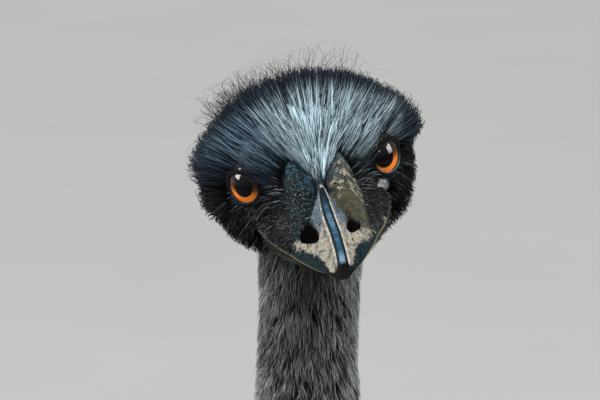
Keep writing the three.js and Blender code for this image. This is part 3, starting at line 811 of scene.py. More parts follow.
class Shader:
    """A material's node tree, built one node at a time."""

    def __init__(self, tree: bpy.types.NodeTree) -> None:
        """Starts in a tree."""
        self.tree = tree

    def add(self, kind: str, links: dict | None = None, **settings: object) -> bpy.types.Node:
        """Adds a node.

        Args:
            kind: The node's type, without the leading word Shader.
            links: A value or a socket for each input, by its name or number.
            **settings: The node's own settings.

        Returns:
            The new node.
        """
        node = self.tree.nodes.new(f"ShaderNode{kind}")
        for key, value in settings.items():
            setattr(node, key, value)
        for key, value in (links or {}).items():
            self.put(node.inputs[key], value)
        return node

    def put(self, socket: bpy.types.NodeSocket, value: object) -> None:
        """Gives a socket a constant or a link."""
        if isinstance(value, bpy.types.NodeSocket):
            self.tree.links.new(value, socket)
        elif isinstance(value, tuple) and len(value) == 3 and socket.type == "RGBA":
            socket.default_value = (*value, 1.0)
        else:
            socket.default_value = value

    def sum(self, kind: str, one: object, other: object = 0.0, third: object = 0.0) -> bpy.types.NodeSocket:
        """The result of a Math node."""
        return self.add("Math", {0: one, 1: other, 2: third}, operation=kind).outputs[0]

    def times(self, one: object, other: object) -> bpy.types.NodeSocket:
        """One value times another."""
        return self.sum("MULTIPLY", one, other)

    def step(self, value: object, low: float, high: float) -> bpy.types.NodeSocket:
        """A soft step from 0 at low to 1 at high."""
        links = {"Value": value, "From Min": low, "From Max": high}
        return self.add("MapRange", links, interpolation_type="SMOOTHSTEP").outputs[0]

    def mix(self, share: object, one: object, other: object, way: str = "MIX") -> bpy.types.NodeSocket:
        """A mix of two colours.

        Args:
            share: The second colour's share.
            one: The first colour.
            other: The second colour.
            way: How they blend.

        Returns:
            The mixed colour.
        """
        node = self.add("Mix", data_type="RGBA", blend_type=way)
        for socket, value in zip((node.inputs[0], node.inputs[6], node.inputs[7]), (share, one, other)):
            self.put(socket, value)
        return node.outputs[2]

    def over(self, base: object, colour: object, *masks: object) -> bpy.types.NodeSocket:
        """A colour laid over another where every mask is.

        Args:
            base: The colour below.
            colour: The colour laid over it.
            *masks: Where it lies; all of them count.

        Returns:
            The mixed colour.
        """
        share = masks[0]
        for mask in masks[1:]:
            share = self.times(share, mask)
        return self.mix(share, base, colour)

    def value(self, name: str) -> bpy.types.NodeSocket:
        """A value stored on the mesh."""
        return self.add("Attribute", attribute_name=name).outputs["Fac"]

    def place(self) -> bpy.types.NodeSocket:
        """Object coordinates, in metres."""
        return self.add("TexCoord").outputs["Object"]

    def noise(self, scale: float, detail: float = 3.0, where: object = None) -> bpy.types.NodeSocket:
        """A soft random value from 0 to 1."""
        links = {"Vector": self.place() if where is None else where, "Scale": scale, "Detail": detail}
        return self.add("TexNoise", links).outputs["Fac"]

    def vector(self, x: object, y: object, z: float = 0.0) -> bpy.types.NodeSocket:
        """A vector of three values."""
        return self.add("CombineXYZ", {0: x, 1: y, 2: z}).outputs[0]

    def shaded(self, colour: object, light: object) -> bpy.types.NodeSocket:
        """A colour times a lightness."""
        grey = self.add("CombineColor", {0: light, 1: light, 2: light}).outputs[0]
        return self.mix(1.0, colour, grey, "MULTIPLY")

    def bump(self, height: object, distance: float, strength: float = 1.0) -> bpy.types.NodeSocket:
        """The normal of a surface with small relief."""
        links = {"Height": height, "Distance": distance, "Strength": strength}
        return self.add("Bump", links).outputs["Normal"]

    def group(self, tree: bpy.types.NodeTree, links: dict) -> bpy.types.NodeSocket:
        """The result of a shared effect.

        Args:
            tree: The effect's node group.
            links: A value or a socket for each of its inputs.

        Returns:
            Its first output.
        """
        node = self.add("Group")
        node.node_tree = tree
        for key, value in links.items():
            self.put(node.inputs[key], value)
        return node.outputs[0]


class Paint(Shader):
    """A material's nodes, round one Principled surface."""

    def __init__(self, name: str) -> None:
        """Starts an empty material."""
        self.material = bpy.data.materials.new(name)
        self.material.use_nodes = True
        super().__init__(self.material.node_tree)
        self.tree.nodes.clear()
        self.surface = self.add("BsdfPrincipled")
        self.add("OutputMaterial", {"Surface": self.surface.outputs[0]})

    def creased(self, scale: float, distance: float, strength: float) -> bpy.types.NodeSocket:
        """The normal of finely creased skin."""
        creases = self.group(fine_creases(), {"Vector": self.place(), "Scale": scale})
        return self.bump(creases, distance, strength)

    def done(self, **sockets: object) -> bpy.types.Material:
        """Sets the surface's sockets and gives the material.

        Args:
            **sockets: A value or a socket for each, with _ for the spaces of its name.

        Returns:
            The material.
        """
        for key, value in sockets.items():
            self.put(self.surface.inputs[key.replace("_", " ")], value)
        return self.material


class Effect:
    """A shared shader node group with named inputs and outputs."""

    def __init__(self, name: str, inputs: dict[str, str], outputs: dict[str, str]) -> None:
        """Opens the group.

        Args:
            name: The group's name.
            inputs: The type of each input, Float, Color or Vector.
            outputs: The type of each output.
        """
        self.tree = bpy.data.node_groups.new(name, "ShaderNodeTree")
        for way, sockets in (("INPUT", inputs), ("OUTPUT", outputs)):
            for key, kind in sockets.items():
                self.tree.interface.new_socket(key, in_out=way, socket_type=f"NodeSocket{kind}")
        self.shader = Shader(self.tree)
        self.given = self.tree.nodes.new("NodeGroupInput").outputs
        self.out = self.tree.nodes.new("NodeGroupOutput").inputs


@cache
def feather_tint() -> bpy.types.NodeTree:
    """The colour along a feather, from its root to its tip, lighter or darker from one to the next.

    Returns:
        A group that gives a Color from Share, Tone and Mark.
    """
    colours = {key: "Color" for key in ("Root", "Middle", "Tip", "Pale")}
    numbers = {key: "Float" for key in ("Share", "Tone", "Mark", "Tip Start")}
    effect = Effect("feather_tint", {**numbers, **colours}, {"Color": "Color"})
    shader, given = effect.shader, effect.given
    light = shader.mix(given["Mark"], given["Middle"], given["Pale"])
    rising = shader.step(given["Share"], 0.0, 0.35)
    body = shader.mix(rising, given["Root"], light)
    past = shader.sum("SUBTRACT", given["Share"], given["Tip Start"])
    ending = shader.step(past, 0.0, 0.3)
    colour = shader.mix(ending, body, given["Tip"])
    lightness = shader.sum("MULTIPLY_ADD", given["Tone"], 1.3, 0.35)
    shader.put(effect.out["Color"], shader.shaded(colour, lightness))
    return effect.tree


@cache
def fine_creases() -> bpy.types.NodeTree:
    """Fine creases and pores of bare skin.

    Returns:
        A group that gives a Height from a Vector and a Scale.
    """
    effect = Effect("fine_creases", {"Vector": "Vector", "Scale": "Float"}, {"Height": "Float"})
    shader, given = effect.shader, effect.given
    links = {"Vector": given["Vector"], "Scale": given["Scale"]}
    cell = shader.add("TexVoronoi", links, feature="DISTANCE_TO_EDGE").outputs["Distance"]
    grain = shader.add("TexNoise", {**links, "Detail": 4.0}).outputs["Fac"]
    folds = shader.step(cell, 0.0, 0.22)
    shader.put(effect.out["Height"], shader.sum("MULTIPLY_ADD", grain, 0.5, folds))
    return effect.tree


@dataclass(frozen=True)
class PlumageFinish:
    """The look of one kind of feather."""

    name: str
    root: Colour
    middle: Colour
    tip: Colour
    pale: Colour
    tip_start: float = 0.7
    roughness: float = 0.6
    patch_scale: float = 40.0
    patch_depth: float = 0.35
    shine: float = 0.12

    def material(self) -> bpy.types.Material:
        """Builds the material.

        Returns:
            The material.
        """
        shader = Paint(self.name)
        links = {key.title(): shader.value(key) for key in ("share", "tone", "mark")}
        colours = {"Root": self.root, "Middle": self.middle, "Tip": self.tip, "Pale": self.pale}
        tinted = shader.group(feather_tint(), {**links, **colours, "Tip Start": self.tip_start})
        cloud = shader.step(shader.noise(self.patch_scale), 0.35, 0.65)
        shade = shader.sum("MULTIPLY_ADD", cloud, self.patch_depth, 1.0 - self.patch_depth)
        rough = shader.sum("MULTIPLY_ADD", shader.value("tone"), 0.15, self.roughness - 0.07)
        return shader.done(Base_Color=shader.shaded(tinted, shade), Roughness=rough, Specular_IOR_Level=self.shine)


# Feathers


@dataclass(frozen=True)
class Plume:
    """One kind of feather and how it grows in tufts, in millimetres."""

    length: float
    width: float
    sink: float
    rise: float
    steps: int = 4
    thick: float = 0.35
    vary: float = 0.2
    stray: float = 0.12
    gather: float = 0.55
    tuft: int = 8
    spread: float = 3.0
    curl: float = 0.0
    turns: float = 0.8
    dark: float = 0.2
    hangs: bool = False


@dataclass(frozen=True)
class Patch:
    """A stretch of a surface where feathers grow, with angles in degrees."""

    surface: Surface
    first: float
    last: float
    low: float
    high: float
    tufts: int


HANG_SLOPE = -0.2
HANG_ENDS = (0.01, 0.96)
BAKE_PATCH = 0.003


class Coat:
    """Feathers that are gathered into one mesh."""

    def __init__(self, name: str, seed: int) -> None:
        """Starts an empty coat.

        Args:
            name: The piece's name.
            seed: The seed of its random draws.
        """
        self.name = name
        self.draw = np.random.default_rng(seed)
        self.parts: list[dict[str, Array]] = []
        self.count = self.loops = 0

    def roots(self, patch: Patch, plume: Plume) -> tuple[Array, Array, Array]:
        """Where the feathers of a patch start.

        Args:
            patch: The patch.
            plume: The kind of feather.

        Returns:
            Shares and angles of all roots, the middles of the tufts first, and the tuft of each.
        """
        tries = patch.tufts * 5
        t = self.draw.uniform(patch.first, patch.last, tries)
        angle = np.radians(self.draw.uniform(patch.low, patch.high, tries))
        lie = patch.surface.lie(t, angle)
        area = np.linalg.norm(np.cross(lie.along, lie.round), axis=1)
        chosen = self.draw.choice(tries, patch.tufts, replace=False, p=area / area.sum())
        t, angle = t[chosen], angle[chosen]
        tuft = np.repeat(np.arange(patch.tufts), plume.tuft)
        lie = patch.surface.lie(t, angle)
        reach = plume.spread * np.sqrt(self.draw.uniform(0, 1, len(tuft)))
        turn = self.draw.uniform(0, 2 * math.pi, len(tuft))
        along = np.linalg.norm(lie.along, axis=1)[tuft]
        around = np.linalg.norm(lie.round, axis=1)[tuft]
        child_t = np.clip(t[tuft] + reach * np.cos(turn) / along, 0.003, 0.997)
        child_angle = angle[tuft] + reach * np.sin(turn) / np.maximum(around, 3.0)
        return np.append(t, child_t), np.append(angle, child_angle), tuft

    @staticmethod
    def lines(
        surface: Surface, t: Array, angle: Array, plume: Plume, length: Array, rise: Array, noise: Array, pull: Pull
    ) -> tuple[Array, Array]:
        """The lines of feathers that start on a skin and lie along it, until they hang free.

        Args:
            surface: The skin.
            t: Shares of their roots.
            angle: Angles of their roots.
            plume: The kind of feather.
            length: The length of each.
            rise: How far each tip rises off the skin.
            noise: A stray direction for each.
            pull: The direction that feathers lie in, from place, way out and share of the length.

        Returns:
            The places of each line's points and the way out at each.
        """
        steps = plume.steps
        path = np.empty((len(t), steps + 1, 3))
        outs = np.empty_like(path)
        stride = (length / steps)[:, None]
        place = surface.point(t, angle)
        lie = surface.lie(t, angle)
        out = lie.out
        hanging = np.zeros(len(t), bool)
        for k in range(steps + 1):
            share = k / steps
            lift = -plume.sink + (plume.sink + rise) * (1 - (1 - share) ** 2)
            path[:, k] = place + out * lift[:, None]
            outs[:, k] = out
            if k == steps:
                break
            way = unit(pull(place, out, share)) + noise
            normal = lie.out
            if plume.hangs:
                hanging |= (normal[:, 2] < HANG_SLOPE) | (t > HANG_ENDS[1]) | (t < HANG_ENDS[0])
            flat = unit(way - normal * dot(way, normal)) * stride
            aa, rr = dot(lie.along, lie.along)[:, 0], dot(lie.round, lie.round)[:, 0]
            ar = dot(lie.along, lie.round)[:, 0]
            wa, wr = dot(flat, lie.along)[:, 0], dot(flat, lie.round)[:, 0]
            det = np.maximum(aa * rr - ar * ar, 1e-6)
            next_t = np.clip(t + (wa * rr - wr * ar) / det, 0.002, 0.998)
            next_angle = angle + np.clip((wr * aa - wa * ar) / det, -1.2, 1.2)
            t = np.where(hanging, t, next_t)
            angle = np.where(hanging, angle, next_angle)
            free = hanging[:, None]
            lie = surface.lie(t, angle)
            place = np.where(free, place + unit(way) * stride, surface.point(t, angle))
            out = np.where(free, out, lie.out)
        return path, outs

    def grow(
        self, patch: Patch, plume: Plume, pull: Pull, mark: Test | float = 0.0, keep: Test | None = None,
        trim: Test | None = None, cell: tuple[float, float] = (0.0, 1.0),
    ) -> None:
        """Grows the feathers of a patch.

        Args:
            patch: The patch.
            plume: The kind of feather.
            pull: The direction that they lie in.
            mark: How far each point takes the pale marking, from its place.
            keep: Which lines stay, from their points, in the surface's own frame.
            trim: Presses lines into an outline.
            cell: The part of the bake map's height that the surface's unwrap takes.
        """
        surface = patch.surface
        t, angle, tuft = self.roots(patch, plume)
        count, total = patch.tufts, len(t)
        spread = 1 + self.draw.normal(0, plume.vary, total) * 0.8
        length = plume.length * np.clip(spread, 0.45, 1.6)
        rise = plume.rise * np.clip(1 + self.draw.normal(0, 0.3, total), 0.15, 1.7)
        noise = self.draw.normal(0, plume.stray, (total, 3))
        path, outs = self.lines(surface, t, angle, plume, length, rise, noise, pull)
        share = np.linspace(0, 1, plume.steps + 1)
        guide, own = path[:count][tuft], path[count:]
        weight = (plume.gather * share**1.3)[None, :, None]
        own = own * (1 - weight) + guide * weight
        outs = outs[count:]
        if plume.curl:
            ahead = unit(np.gradient(own, axis=1))
            side = unit(np.cross(ahead, outs))
            phase = self.draw.uniform(0, 1, (len(own), 1))
            turn, start = 2 * math.pi * (plume.turns * share[None] + phase), 2 * math.pi * phase
            swing, lift = np.sin(turn) - np.sin(start), np.cos(turn) - np.cos(start)
            size = plume.curl * share[None] ** 0.6
            own = own + side * (swing * size)[..., None] + outs * (lift * size * 0.7)[..., None]
        if trim:
            own = trim(own)
        tone = np.clip(self.draw.normal(0.5, 0.2, len(own)) + self.draw.normal(0, 0.14, count)[tuft], 0, 1)
        fullness = 0.3 + 0.9 * self.draw.uniform(0, 1, count)[tuft] + self.draw.uniform(-0.3, 0.3, len(own))
        gap = self.draw.uniform(0, 1, len(own)) < plume.dark
        fullness = np.where(gap, 0.06, np.clip(fullness, 0.0, 1.0))
        tone = np.where(gap, tone * 0.35, tone)
        width = plume.width * np.clip(1 + self.draw.normal(0, 0.15, len(own)), 0.6, 1.5)
        chosen = np.ones(len(own), bool) if keep is None else keep(own)
        rows = (own, outs, tone, width, fullness, t[count:], angle[count:])
        own, outs, tone, width, fullness, t, angle = (row[chosen] for row in rows)
        marks = (mark(own) if callable(mark) else np.full(own.shape[:2], mark)) * fullness[:, None]
        bake = np.stack([(angle / (2 * math.pi)) % 1.0, cell[0] + (cell[1] - cell[0]) * t], axis=1)
        self.store(own, outs, width, plume, tone, marks, bake, STANCE.to_world(surface.frame))

    def store(
        self, path: Array, outs: Array, width: Array, plume: Plume, tone: Array, mark: Array, bake: Array, frame: Array
    ) -> None:
        """Gives lines their thin, three-sided, pointed bodies.

        Args:
            path: The points of each line.
            outs: The way out of the skin at each.
            width: The width of each feather.
            plume: The kind of feather.
            tone: The lightness of each.
            mark: How far each point takes the pale marking.
            bake: The root's place on the bake map.
            frame: From the lines' frame to metres.
        """
        number, points, _ = path.shape
        if not number:
            return
        rings = points - 1
        ahead = unit(np.gradient(path, axis=1))
        side = unit(np.cross(ahead, outs))
        up = np.cross(side, ahead)
        share = np.linspace(0, 1, points)
        taper = ((1 - share**3) * np.minimum(1, 0.62 + 1.3 * share))[None, :rings, None]
        across = side[:, :rings] * (width[:, None, None] * 0.5 * taper)
        middle = path[:, :rings]
        ridge = middle + up[:, :rings] * (width[:, None, None] * plume.thick * taper)
        body = np.stack([middle + across, middle - across, ridge], axis=2).reshape(number, rings * 3, 3)
        places = np.concatenate([body, path[:, -1:]], axis=1)
        each = rings * 3 + 1
        shares = np.append(np.repeat(share[:rings], 3), 1.0)
        offset = np.append(np.tile([-0.4, 0.4, 0.0], rings), 0.0) * BAKE_PATCH
        uv = np.stack([bake[:, :1] + offset[None], bake[:, 1:] + (shares[None] - 0.5) * BAKE_PATCH], axis=2)
        quads = [
            [k * 3 + c, k * 3 + (c + 1) % 3, k * 3 + 3 + (c + 1) % 3, k * 3 + 3 + c]
            for k in range(rings - 1)
            for c in range(3)
        ]
        last = (rings - 1) * 3
        ends = [[0, 2, 1]] + [[last + c, last + (c + 1) % 3, each - 1] for c in range(3)]
        loops = np.concatenate([np.ravel(quads), np.ravel(ends)]).astype(np.int64)
        starts = np.concatenate([np.arange(len(quads)) * 4, len(quads) * 4 + np.arange(4) * 3])
        row = np.arange(number)[:, None]
        part = {
            "co": moved(places.reshape(-1, 3), frame),
            "loops": (loops + self.count + row * each).ravel(),
            "starts": (starts + self.loops + row * len(loops)).ravel(),
            "uv": np.clip(uv, 0.0, 1.0).reshape(-1, 2),
            "share": np.tile(shares, number),
            "tone": np.repeat(tone, each),
            "mark": np.concatenate([np.repeat(mark[:, :rings], 3, axis=1), mark[:, -1:]], axis=1).ravel(),
        }
        self.parts.append(part)
        self.count += number * each
        self.loops += number * len(loops)

    def piece(self) -> bpy.types.Object:
        """Makes the mesh.

        Returns:
            The new object.
        """
        mesh = bpy.data.meshes.new(self.name)
        whole = {key: np.concatenate([part[key] for part in self.parts]) for key in self.parts[0]}
        loops, starts = whole["loops"].astype(np.int32), whole["starts"].astype(np.int32)
        mesh.vertices.add(len(whole["co"]))
        mesh.vertices.foreach_set("co", whole["co"].ravel().astype(np.float32))
        mesh.loops.add(len(loops))
        mesh.loops.foreach_set("vertex_index", loops)
        mesh.polygons.add(len(starts))
        mesh.polygons.foreach_set("loop_start", starts)
        layer = mesh.uv_layers.new(name="OFBake")
        layer.data.foreach_set("uv", whole["uv"][loops].ravel().astype(np.float32))
        mesh.polygons.foreach_set("use_smooth", np.ones(len(starts), bool))
        mesh.update(calc_edges=True)
        piece = placed(self.name, mesh)
        for name in ("share", "tone", "mark"):
            attribute(piece, name, whole[name])
        return piece


# The head's coat


SKULL_CELL, BILL_CELL, RIDGE_CELL = (0.0, 0.6), (0.62, 1.0), (0.94, 1.0)
BARE_PATCH = (34.5, -10.5, -13.5)
FAN_ROOT = np.array([0.0, -39.0, -3.0])
TILT = 0.33
OUTLINE = (
    (-180, -165, -150, -120, -60, -35, -8, 6, 11, 16, 24, 32, 45, 60, 90, 105, 130, 147, 157, 162, 170, 180),
    (61, 60, 59, 52, 57, 53, 52, 52.5, 54, 64, 66, 65, 61, 60, 62, 63, 61, 66, 70, 67, 63, 61),
)
PRESS = ((-180, -60, -30, 6, 16, 150, 170, 180), (0.75, 0.75, 0.85, 0.8, 0.45, 0.45, 0.7, 0.75))
# how the crown's pale colour and painted sky sheen spread round the head, strongest on top
GLOW = ((14, 22, 33, 50, 70, 100, 118, 146, 155, 161), (0.05, 0.4, 0.75, 0.85, 1.0, 1.0, 0.52, 0.33, 0.12, 0.02))
DARK_RING = ((20, 36, 48, 62, 90, 118, 136, 160), (56, 62, 57, 54, 53, 54, 60, 66))


def from_eyes(places: Array, reach: float) -> Array:
    """A push that turns feathers aside from the eyes.

    Args:
        places: Places in the head's frame.
        reach: How far off the push is felt.

    Returns:
        A vector for each place.
    """
    push = np.zeros_like(places)
    for side, _ in SIDES:
        middle = moved(np.array([[0.0, -EYE.radius, 0.0]]), EYE.frame(side))[0]
        away = places - middle
        away[:, 1] *= 0.5
        push += unit(away) * np.exp(-((np.linalg.norm(away, axis=1) / reach) ** 2))[:, None]
    return push


def clear_of_eyes(lines: Array) -> Array:
    """Which lines leave both eyes' openings and the bare patch free.

    Args:
        lines: The points of each line, in the head's frame.

    Returns:
        A row of booleans.
    """
    fine = np.ones(len(lines), bool)
    for side, _ in SIDES:
        own = within(lines, EYE.frame(side))
        across = (own[..., 0] / (EYE.wide + 1.2)) ** 2 + ((own[..., 2] + 0.5) / (EYE.high + 1.0)) ** 2
        fine &= ~np.any((across < 1) & (own[..., 1] < 0), axis=1)
    away = lines - np.array(BARE_PATCH)
    flat = np.hypot(away[..., 0], away[..., 2] + TILT * away[..., 1])
    return fine & ~np.any((flat < 3.9) & (lines[..., 1] < 15.0) & (lines[..., 0] > 0), axis=1)


def seen(places: Array) -> tuple[Array, Array]:
    """The angle in degrees and the reach of places round the middle of the face.

    Args:
        places: Places in the head's frame.

    Returns:
        The angles, from the bird's left upwards, and the distances, both as seen from a little above.
    """
    rise = places[..., 2] + TILT * (places[..., 1] - 10.0) + 10.0
    return np.degrees(np.arctan2(rise, places[..., 0])), np.hypot(places[..., 0], rise)


def trimmed(lines: Array) -> Array:
    """Lines of the head's coat, pressed into the outline of the head.

    Args:
        lines: The points of each line, in the head's frame.

    Returns:
        The points that they are pressed to.
    """
    angle, reach = seen(lines)
    root = lines[:, 0]
    ragged = 3.0 * np.sin(root[:, 0] * 3.7 + root[:, 1] * 5.3) * np.sin(root[:, 2] * 7.1)
    over = np.maximum(0.0, reach - np.interp(angle, *OUTLINE) - ragged[:, None])
    scale = (reach - np.interp(angle, *PRESS) * over) / np.maximum(reach, 1.0)
    fine = lines.copy()
    lean = TILT * (lines[..., 1] - 10.0) + 10.0
    fine[..., 0] = lines[..., 0] * scale
    fine[..., 2] = (lines[..., 2] + lean) * scale - lean
    return fine


@dataclass(frozen=True)
class Fan:
    """How the head's feathers lie: away from the bill's root, round the eyes, back and down."""

    round_eyes: float = 0.0
    back: float = 0.0
    down: float = 0.0
    droop: float = 0.0

    def __call__(self, places: Array, out: Array, share: float) -> Array:
        """The direction at each place, a share of the way along a feather."""
        way = unit(places - FAN_ROOT)
        if self.round_eyes:
            way = way + from_eyes(places, self.round_eyes) * 0.8
        return way + np.array([0.0, self.back, -self.down - self.droop * share])


FAN = Fan(round_eyes=15.0, droop=0.25)
CHEEK_FALL = Fan(round_eyes=14.0, back=0.1, down=0.55)
THROAT_FALL = Fan(back=0.25, down=0.9)


def crown_pale_and_sheen(places: Array) -> Array:
    """How pale the crown's feathers are, partly their own pale colour and partly a painted blue sky sheen: most in the
    middle of the forehead, inside a black edge.
    """
    angle, reach = seen(places)
    ring = np.interp(angle, *DARK_RING)
    front = 1 - smooth(places[..., 1], 22.0, 44.0)
    return front * np.interp(angle, *GLOW) * (1 - smooth(reach, ring - 5.0, ring + 2.5))


class HeadCoat:
    """The hair-like feathers and bristles of the head."""

    def __init__(self, forms: EmuForms, bill: BillForm) -> None:
        """Takes the forms that it grows on."""
        self.forms = forms
        self.bill = bill

    def keep(self, lines: Array) -> Array:
        """Which lines on the skull start outside the bill and neck and clear the eyes."""
        roots = lines[:, 0]
        bare = np.any(self.bill.bare(-lines[..., 1], lines[..., 0]) & (lines[..., 2] > -20), axis=1)
        return clear_of_eyes(lines) & ~bare & ~self.bill.covers(roots + np.array([0.0, 0.0, 2.0]))

    def over_eyes(self, lines: Array) -> Array:
        """Which lines on the skull's top don't pass below an eye.

        Args:
            lines: The points of each line, in the head's frame.

        Returns:
            A row of booleans.
        """
        fine = self.keep(lines)
        for side, _ in SIDES:
            own = within(lines, EYE.frame(side))
            below = (np.abs(own[..., 0]) < 16) & (own[..., 2] < -1.0) & (own[..., 1] < 3.0)
            fine &= ~np.any(below, axis=1)
        return fine

    def lower_keep(self, lines: Array) -> Array:
        """Which lines on the lower skull stay free of the bill, the mouth and the neck.

        Args:
            lines: The points of each line, in the head's frame.

        Returns:
            A row of booleans.
        """
        ahead, up = -lines[..., 1], lines[..., 2]
        mouth = (ahead > 14) & (up > -36) & (np.abs(lines[..., 0]) < self.bill.half(ahead) + 1)
        inside = self.forms.neck.holds(moved(lines[:, 1], HEAD), -4)
        return self.keep(lines) & ~np.any(mouth, axis=1) & ~inside

    def crown(self) -> list[Coat]:
        """The crown's long feathers, in three pieces from the left side to the right.

        Returns:
            The coats.
        """
        long = Plume(30, 0.46, 5, 14, tuft=9, spread=3.0, gather=0.5, stray=0.1, dark=0.18)
        near = Plume(22, 0.37, 4, 6.0, spread=2.2, gather=0.65, stray=0.06, dark=0.2)
        root = Plume(14, 0.3, 3.5, 2.4, steps=3, tuft=6, spread=1.5, gather=0.6, stray=0.05, dark=0.2)
        coats = []
        for word, low, high, seed in (("left", 14, 66, 11), ("middle", 62, 118, 12), ("right", 114, 166, 13)):
            coat = Coat(f"crown_{word}", seed)
            rows = ((0.4, 0.92, 470, long, trimmed), (0.2, 0.52, 340, near, trimmed), (0.02, 0.26, 280, root, None))
            for start, end, tufts, plume, trim in rows:
                patch = Patch(self.forms.skull, start, end, low, high, tufts)
                coat.grow(patch, plume, FAN, crown_pale_and_sheen, self.over_eyes, trim)
            if word == "middle":
                first = Plume(13, 0.3, 0.8, 2.4, steps=3, tuft=5, spread=0.8, gather=0.3, stray=0.05, dark=0.3)
                patch = Patch(self.bill, 0.27, 0.425, 74, 106, 46)
                coat.grow(patch, first, FAN, crown_pale_and_sheen, self.at_ridge, None, RIDGE_CELL)
            coats.append(coat)
        return coats

    def at_ridge(self, lines: Array) -> Array:
        """Which lines start in the narrow point between the bare bulges, over the ridge's root."""
        roots = lines[:, 0]
        return np.abs(roots[:, 0]) < 0.8 + 0.3 * np.maximum(0.0, 38.5 + roots[:, 1])

    def brows(self) -> Coat:
        """The fringe that stands out over the eyes and behind them.

        Returns:
            The coat.
        """
        fringe = Plume(35, 0.5, 5, 10, spread=3.2, gather=0.85, stray=0.14)
        coat = Coat("brow_fringe", 21)
        for low, high in ((-6, 24), (156, 186)):
            patch = Patch(self.forms.skull, 0.34, 0.86, low, high, 260)
            coat.grow(patch, fringe, FAN, self.brow_mark, self.over_eyes, trimmed)
        return coat

    @staticmethod
    def brow_mark(places: Array) -> Array:
        """A blue sheen on the upper part of the brows."""
        angle, reach = seen(places)
        return np.interp(angle, (8, 30, 90, 150, 166), (0.0, 0.5, 0.6, 0.6, 0.0)) * (1 - smooth(reach, 52.0, 64.0))

    def wisps(self) -> Coat:
        """Thin curly hairs that stand over the crown, thickest over the bird's right eye.

        Returns:
            The coat.
        """
        wisp = Plume(29, 0.2, 4, 20, steps=9, tuft=5, spread=5, gather=0.2, stray=0.28, curl=3.8, turns=1.2)
        coat = Coat("crown_wisps", 31)
        for first, last, low, high, tufts in ((0.5, 0.85, 56, 132, 95), (0.55, 0.82, 106, 132, 70)):
            coat.grow(Patch(self.forms.skull, first, last, low, high, tufts), wisp, FAN, 0.0, self.keep)
        return coat

    def face(self) -> list[Coat]:
        """Fine bristles on the cheeks, round the eyes and on the skin beside the bill.

        Returns:
            The coats.
        """
        bristle = Plume(7, 0.3, 2.5, 2.0, steps=2, tuft=6, spread=2.0, gather=0.45, stray=0.3, dark=0.84)
        cheek = Plume(15, 0.4, 4.5, 4.0, steps=3, tuft=7, spread=2.6, gather=0.5, stray=0.2, dark=0.8)
        quill = Plume(3.8, 0.22, 1.0, 1.2, steps=2, tuft=4, spread=1.8, gather=0.3, stray=0.5, dark=0.8)
        hair = Plume(9, 0.2, 0.8, 1.5, steps=3, tuft=5, spread=1.8, gather=0.35, stray=0.1, dark=0.8)
        skull, bill = self.forms.skull, self.bill
        coats = []
        for side, word in SIDES:
            coat = Coat(f"cheek_{word}", 41 if side > 0 else 42)
            for surface, first, last, low, high, tufts, *growth in (
                (skull, 0.36, 0.93, -72, 2, 560, cheek, CHEEK_FALL, 0.35, self.lower_keep, trimmed, SKULL_CELL),
                (skull, 0.05, 0.52, -60, 30, 620, bristle, CHEEK_FALL, 0.75, self.lower_keep, None, SKULL_CELL),
                (bill, 0.12, 0.6, 4, 66, 720, quill, CHEEK_FALL, self.quill_mark, self.on_bill, None, BILL_CELL),
                (skull, 0.03, 0.4, 2, 62, 260, hair, FAN, 1.0, self.beside_bulges, None, SKULL_CELL),
            ):
                span = (low, high) if side > 0 else (180 - high, 180 - low)
                coat.grow(Patch(surface, first, last, *span, tufts), *growth)
            coats.append(coat)
        return coats

    @staticmethod
    def quill_mark(places: Array) -> Array:
        """Silver flecks, densest along the border of the bare bulges."""
        return 0.75 + 0.5 * bell(np.abs(places[..., 0]), 20.0, 2.2)

    def beside_bulges(self, lines: Array) -> Array:
        """Which fine hairs start between a bare bulge and an eye."""
        wide = np.abs(lines[:, 0, 0])
        return clear_of_eyes(lines) & (wide > 17.5) & (wide < 33.0)

    def on_bill(self, lines: Array) -> Array:
        """Which bristles grow on the skin beside the bill, not on its horn or in a nostril.

        Args:
            lines: The points of each line, in the head's frame.

        Returns:
            A row of booleans.
        """
        roots, tips = lines[:, 0], lines[:, -1]
        ahead, out = -roots[:, 1], roots[:, 0]
        bulb = 0.7 * bell(np.abs(out), 10.0, 9.0) * bell(ahead, 28.0, 22.0)
        bare = (self.bill.horn(ahead, out) > -1.0) | ((out > 3.0) & (out < 19.0))
        for end in (roots, tips):
            bare |= self.bill.pit(-end[:, 1], end[:, 0], 1.25) > 0.02
        # A scatter that comes from each root's own place
        sparse = (np.sin(roots[:, 0] * 91.7 + roots[:, 1] * 57.3) * 0.5 + 0.5) < bulb * 1.6
        return clear_of_eyes(lines) & ~bare & ~sparse

    def throat(self) -> Coat:
        """Soft feathers under the mouth and behind the head.

        Returns:
            The coat.
        """
        soft = Plume(17, 0.4, 5, 4.5, steps=3, spread=3.0, gather=0.5, stray=0.2, dark=0.6)
        nape = Plume(30, 0.6, 6, 6, spread=3.5, gather=0.5, stray=0.14)
        coat = Coat("throat", 51)
        skull = self.forms.skull
        under = Patch(skull, 0.2, 0.9, 236, 304, 360)
        coat.grow(under, soft, THROAT_FALL, 0.6, self.lower_keep, trimmed, SKULL_CELL)
        coat.grow(Patch(skull, 0.84, 0.985, -60, 240, 260), nape, THROAT_FALL, 0.1, self.lower_keep)
        beard = Plume(11, 0.32, 1.5, 2.6, steps=3, tuft=6, spread=2.4, gather=0.4, stray=0.3, dark=0.66)
        for low, high in ((4, 86), (94, 176)):
            patch = Patch(self.forms.jaw, 0.04, 0.52, low, high, 240)
            coat.grow(patch, beard, THROAT_FALL, 0.9, clear_of_eyes, None, BILL_CELL)
        return coat


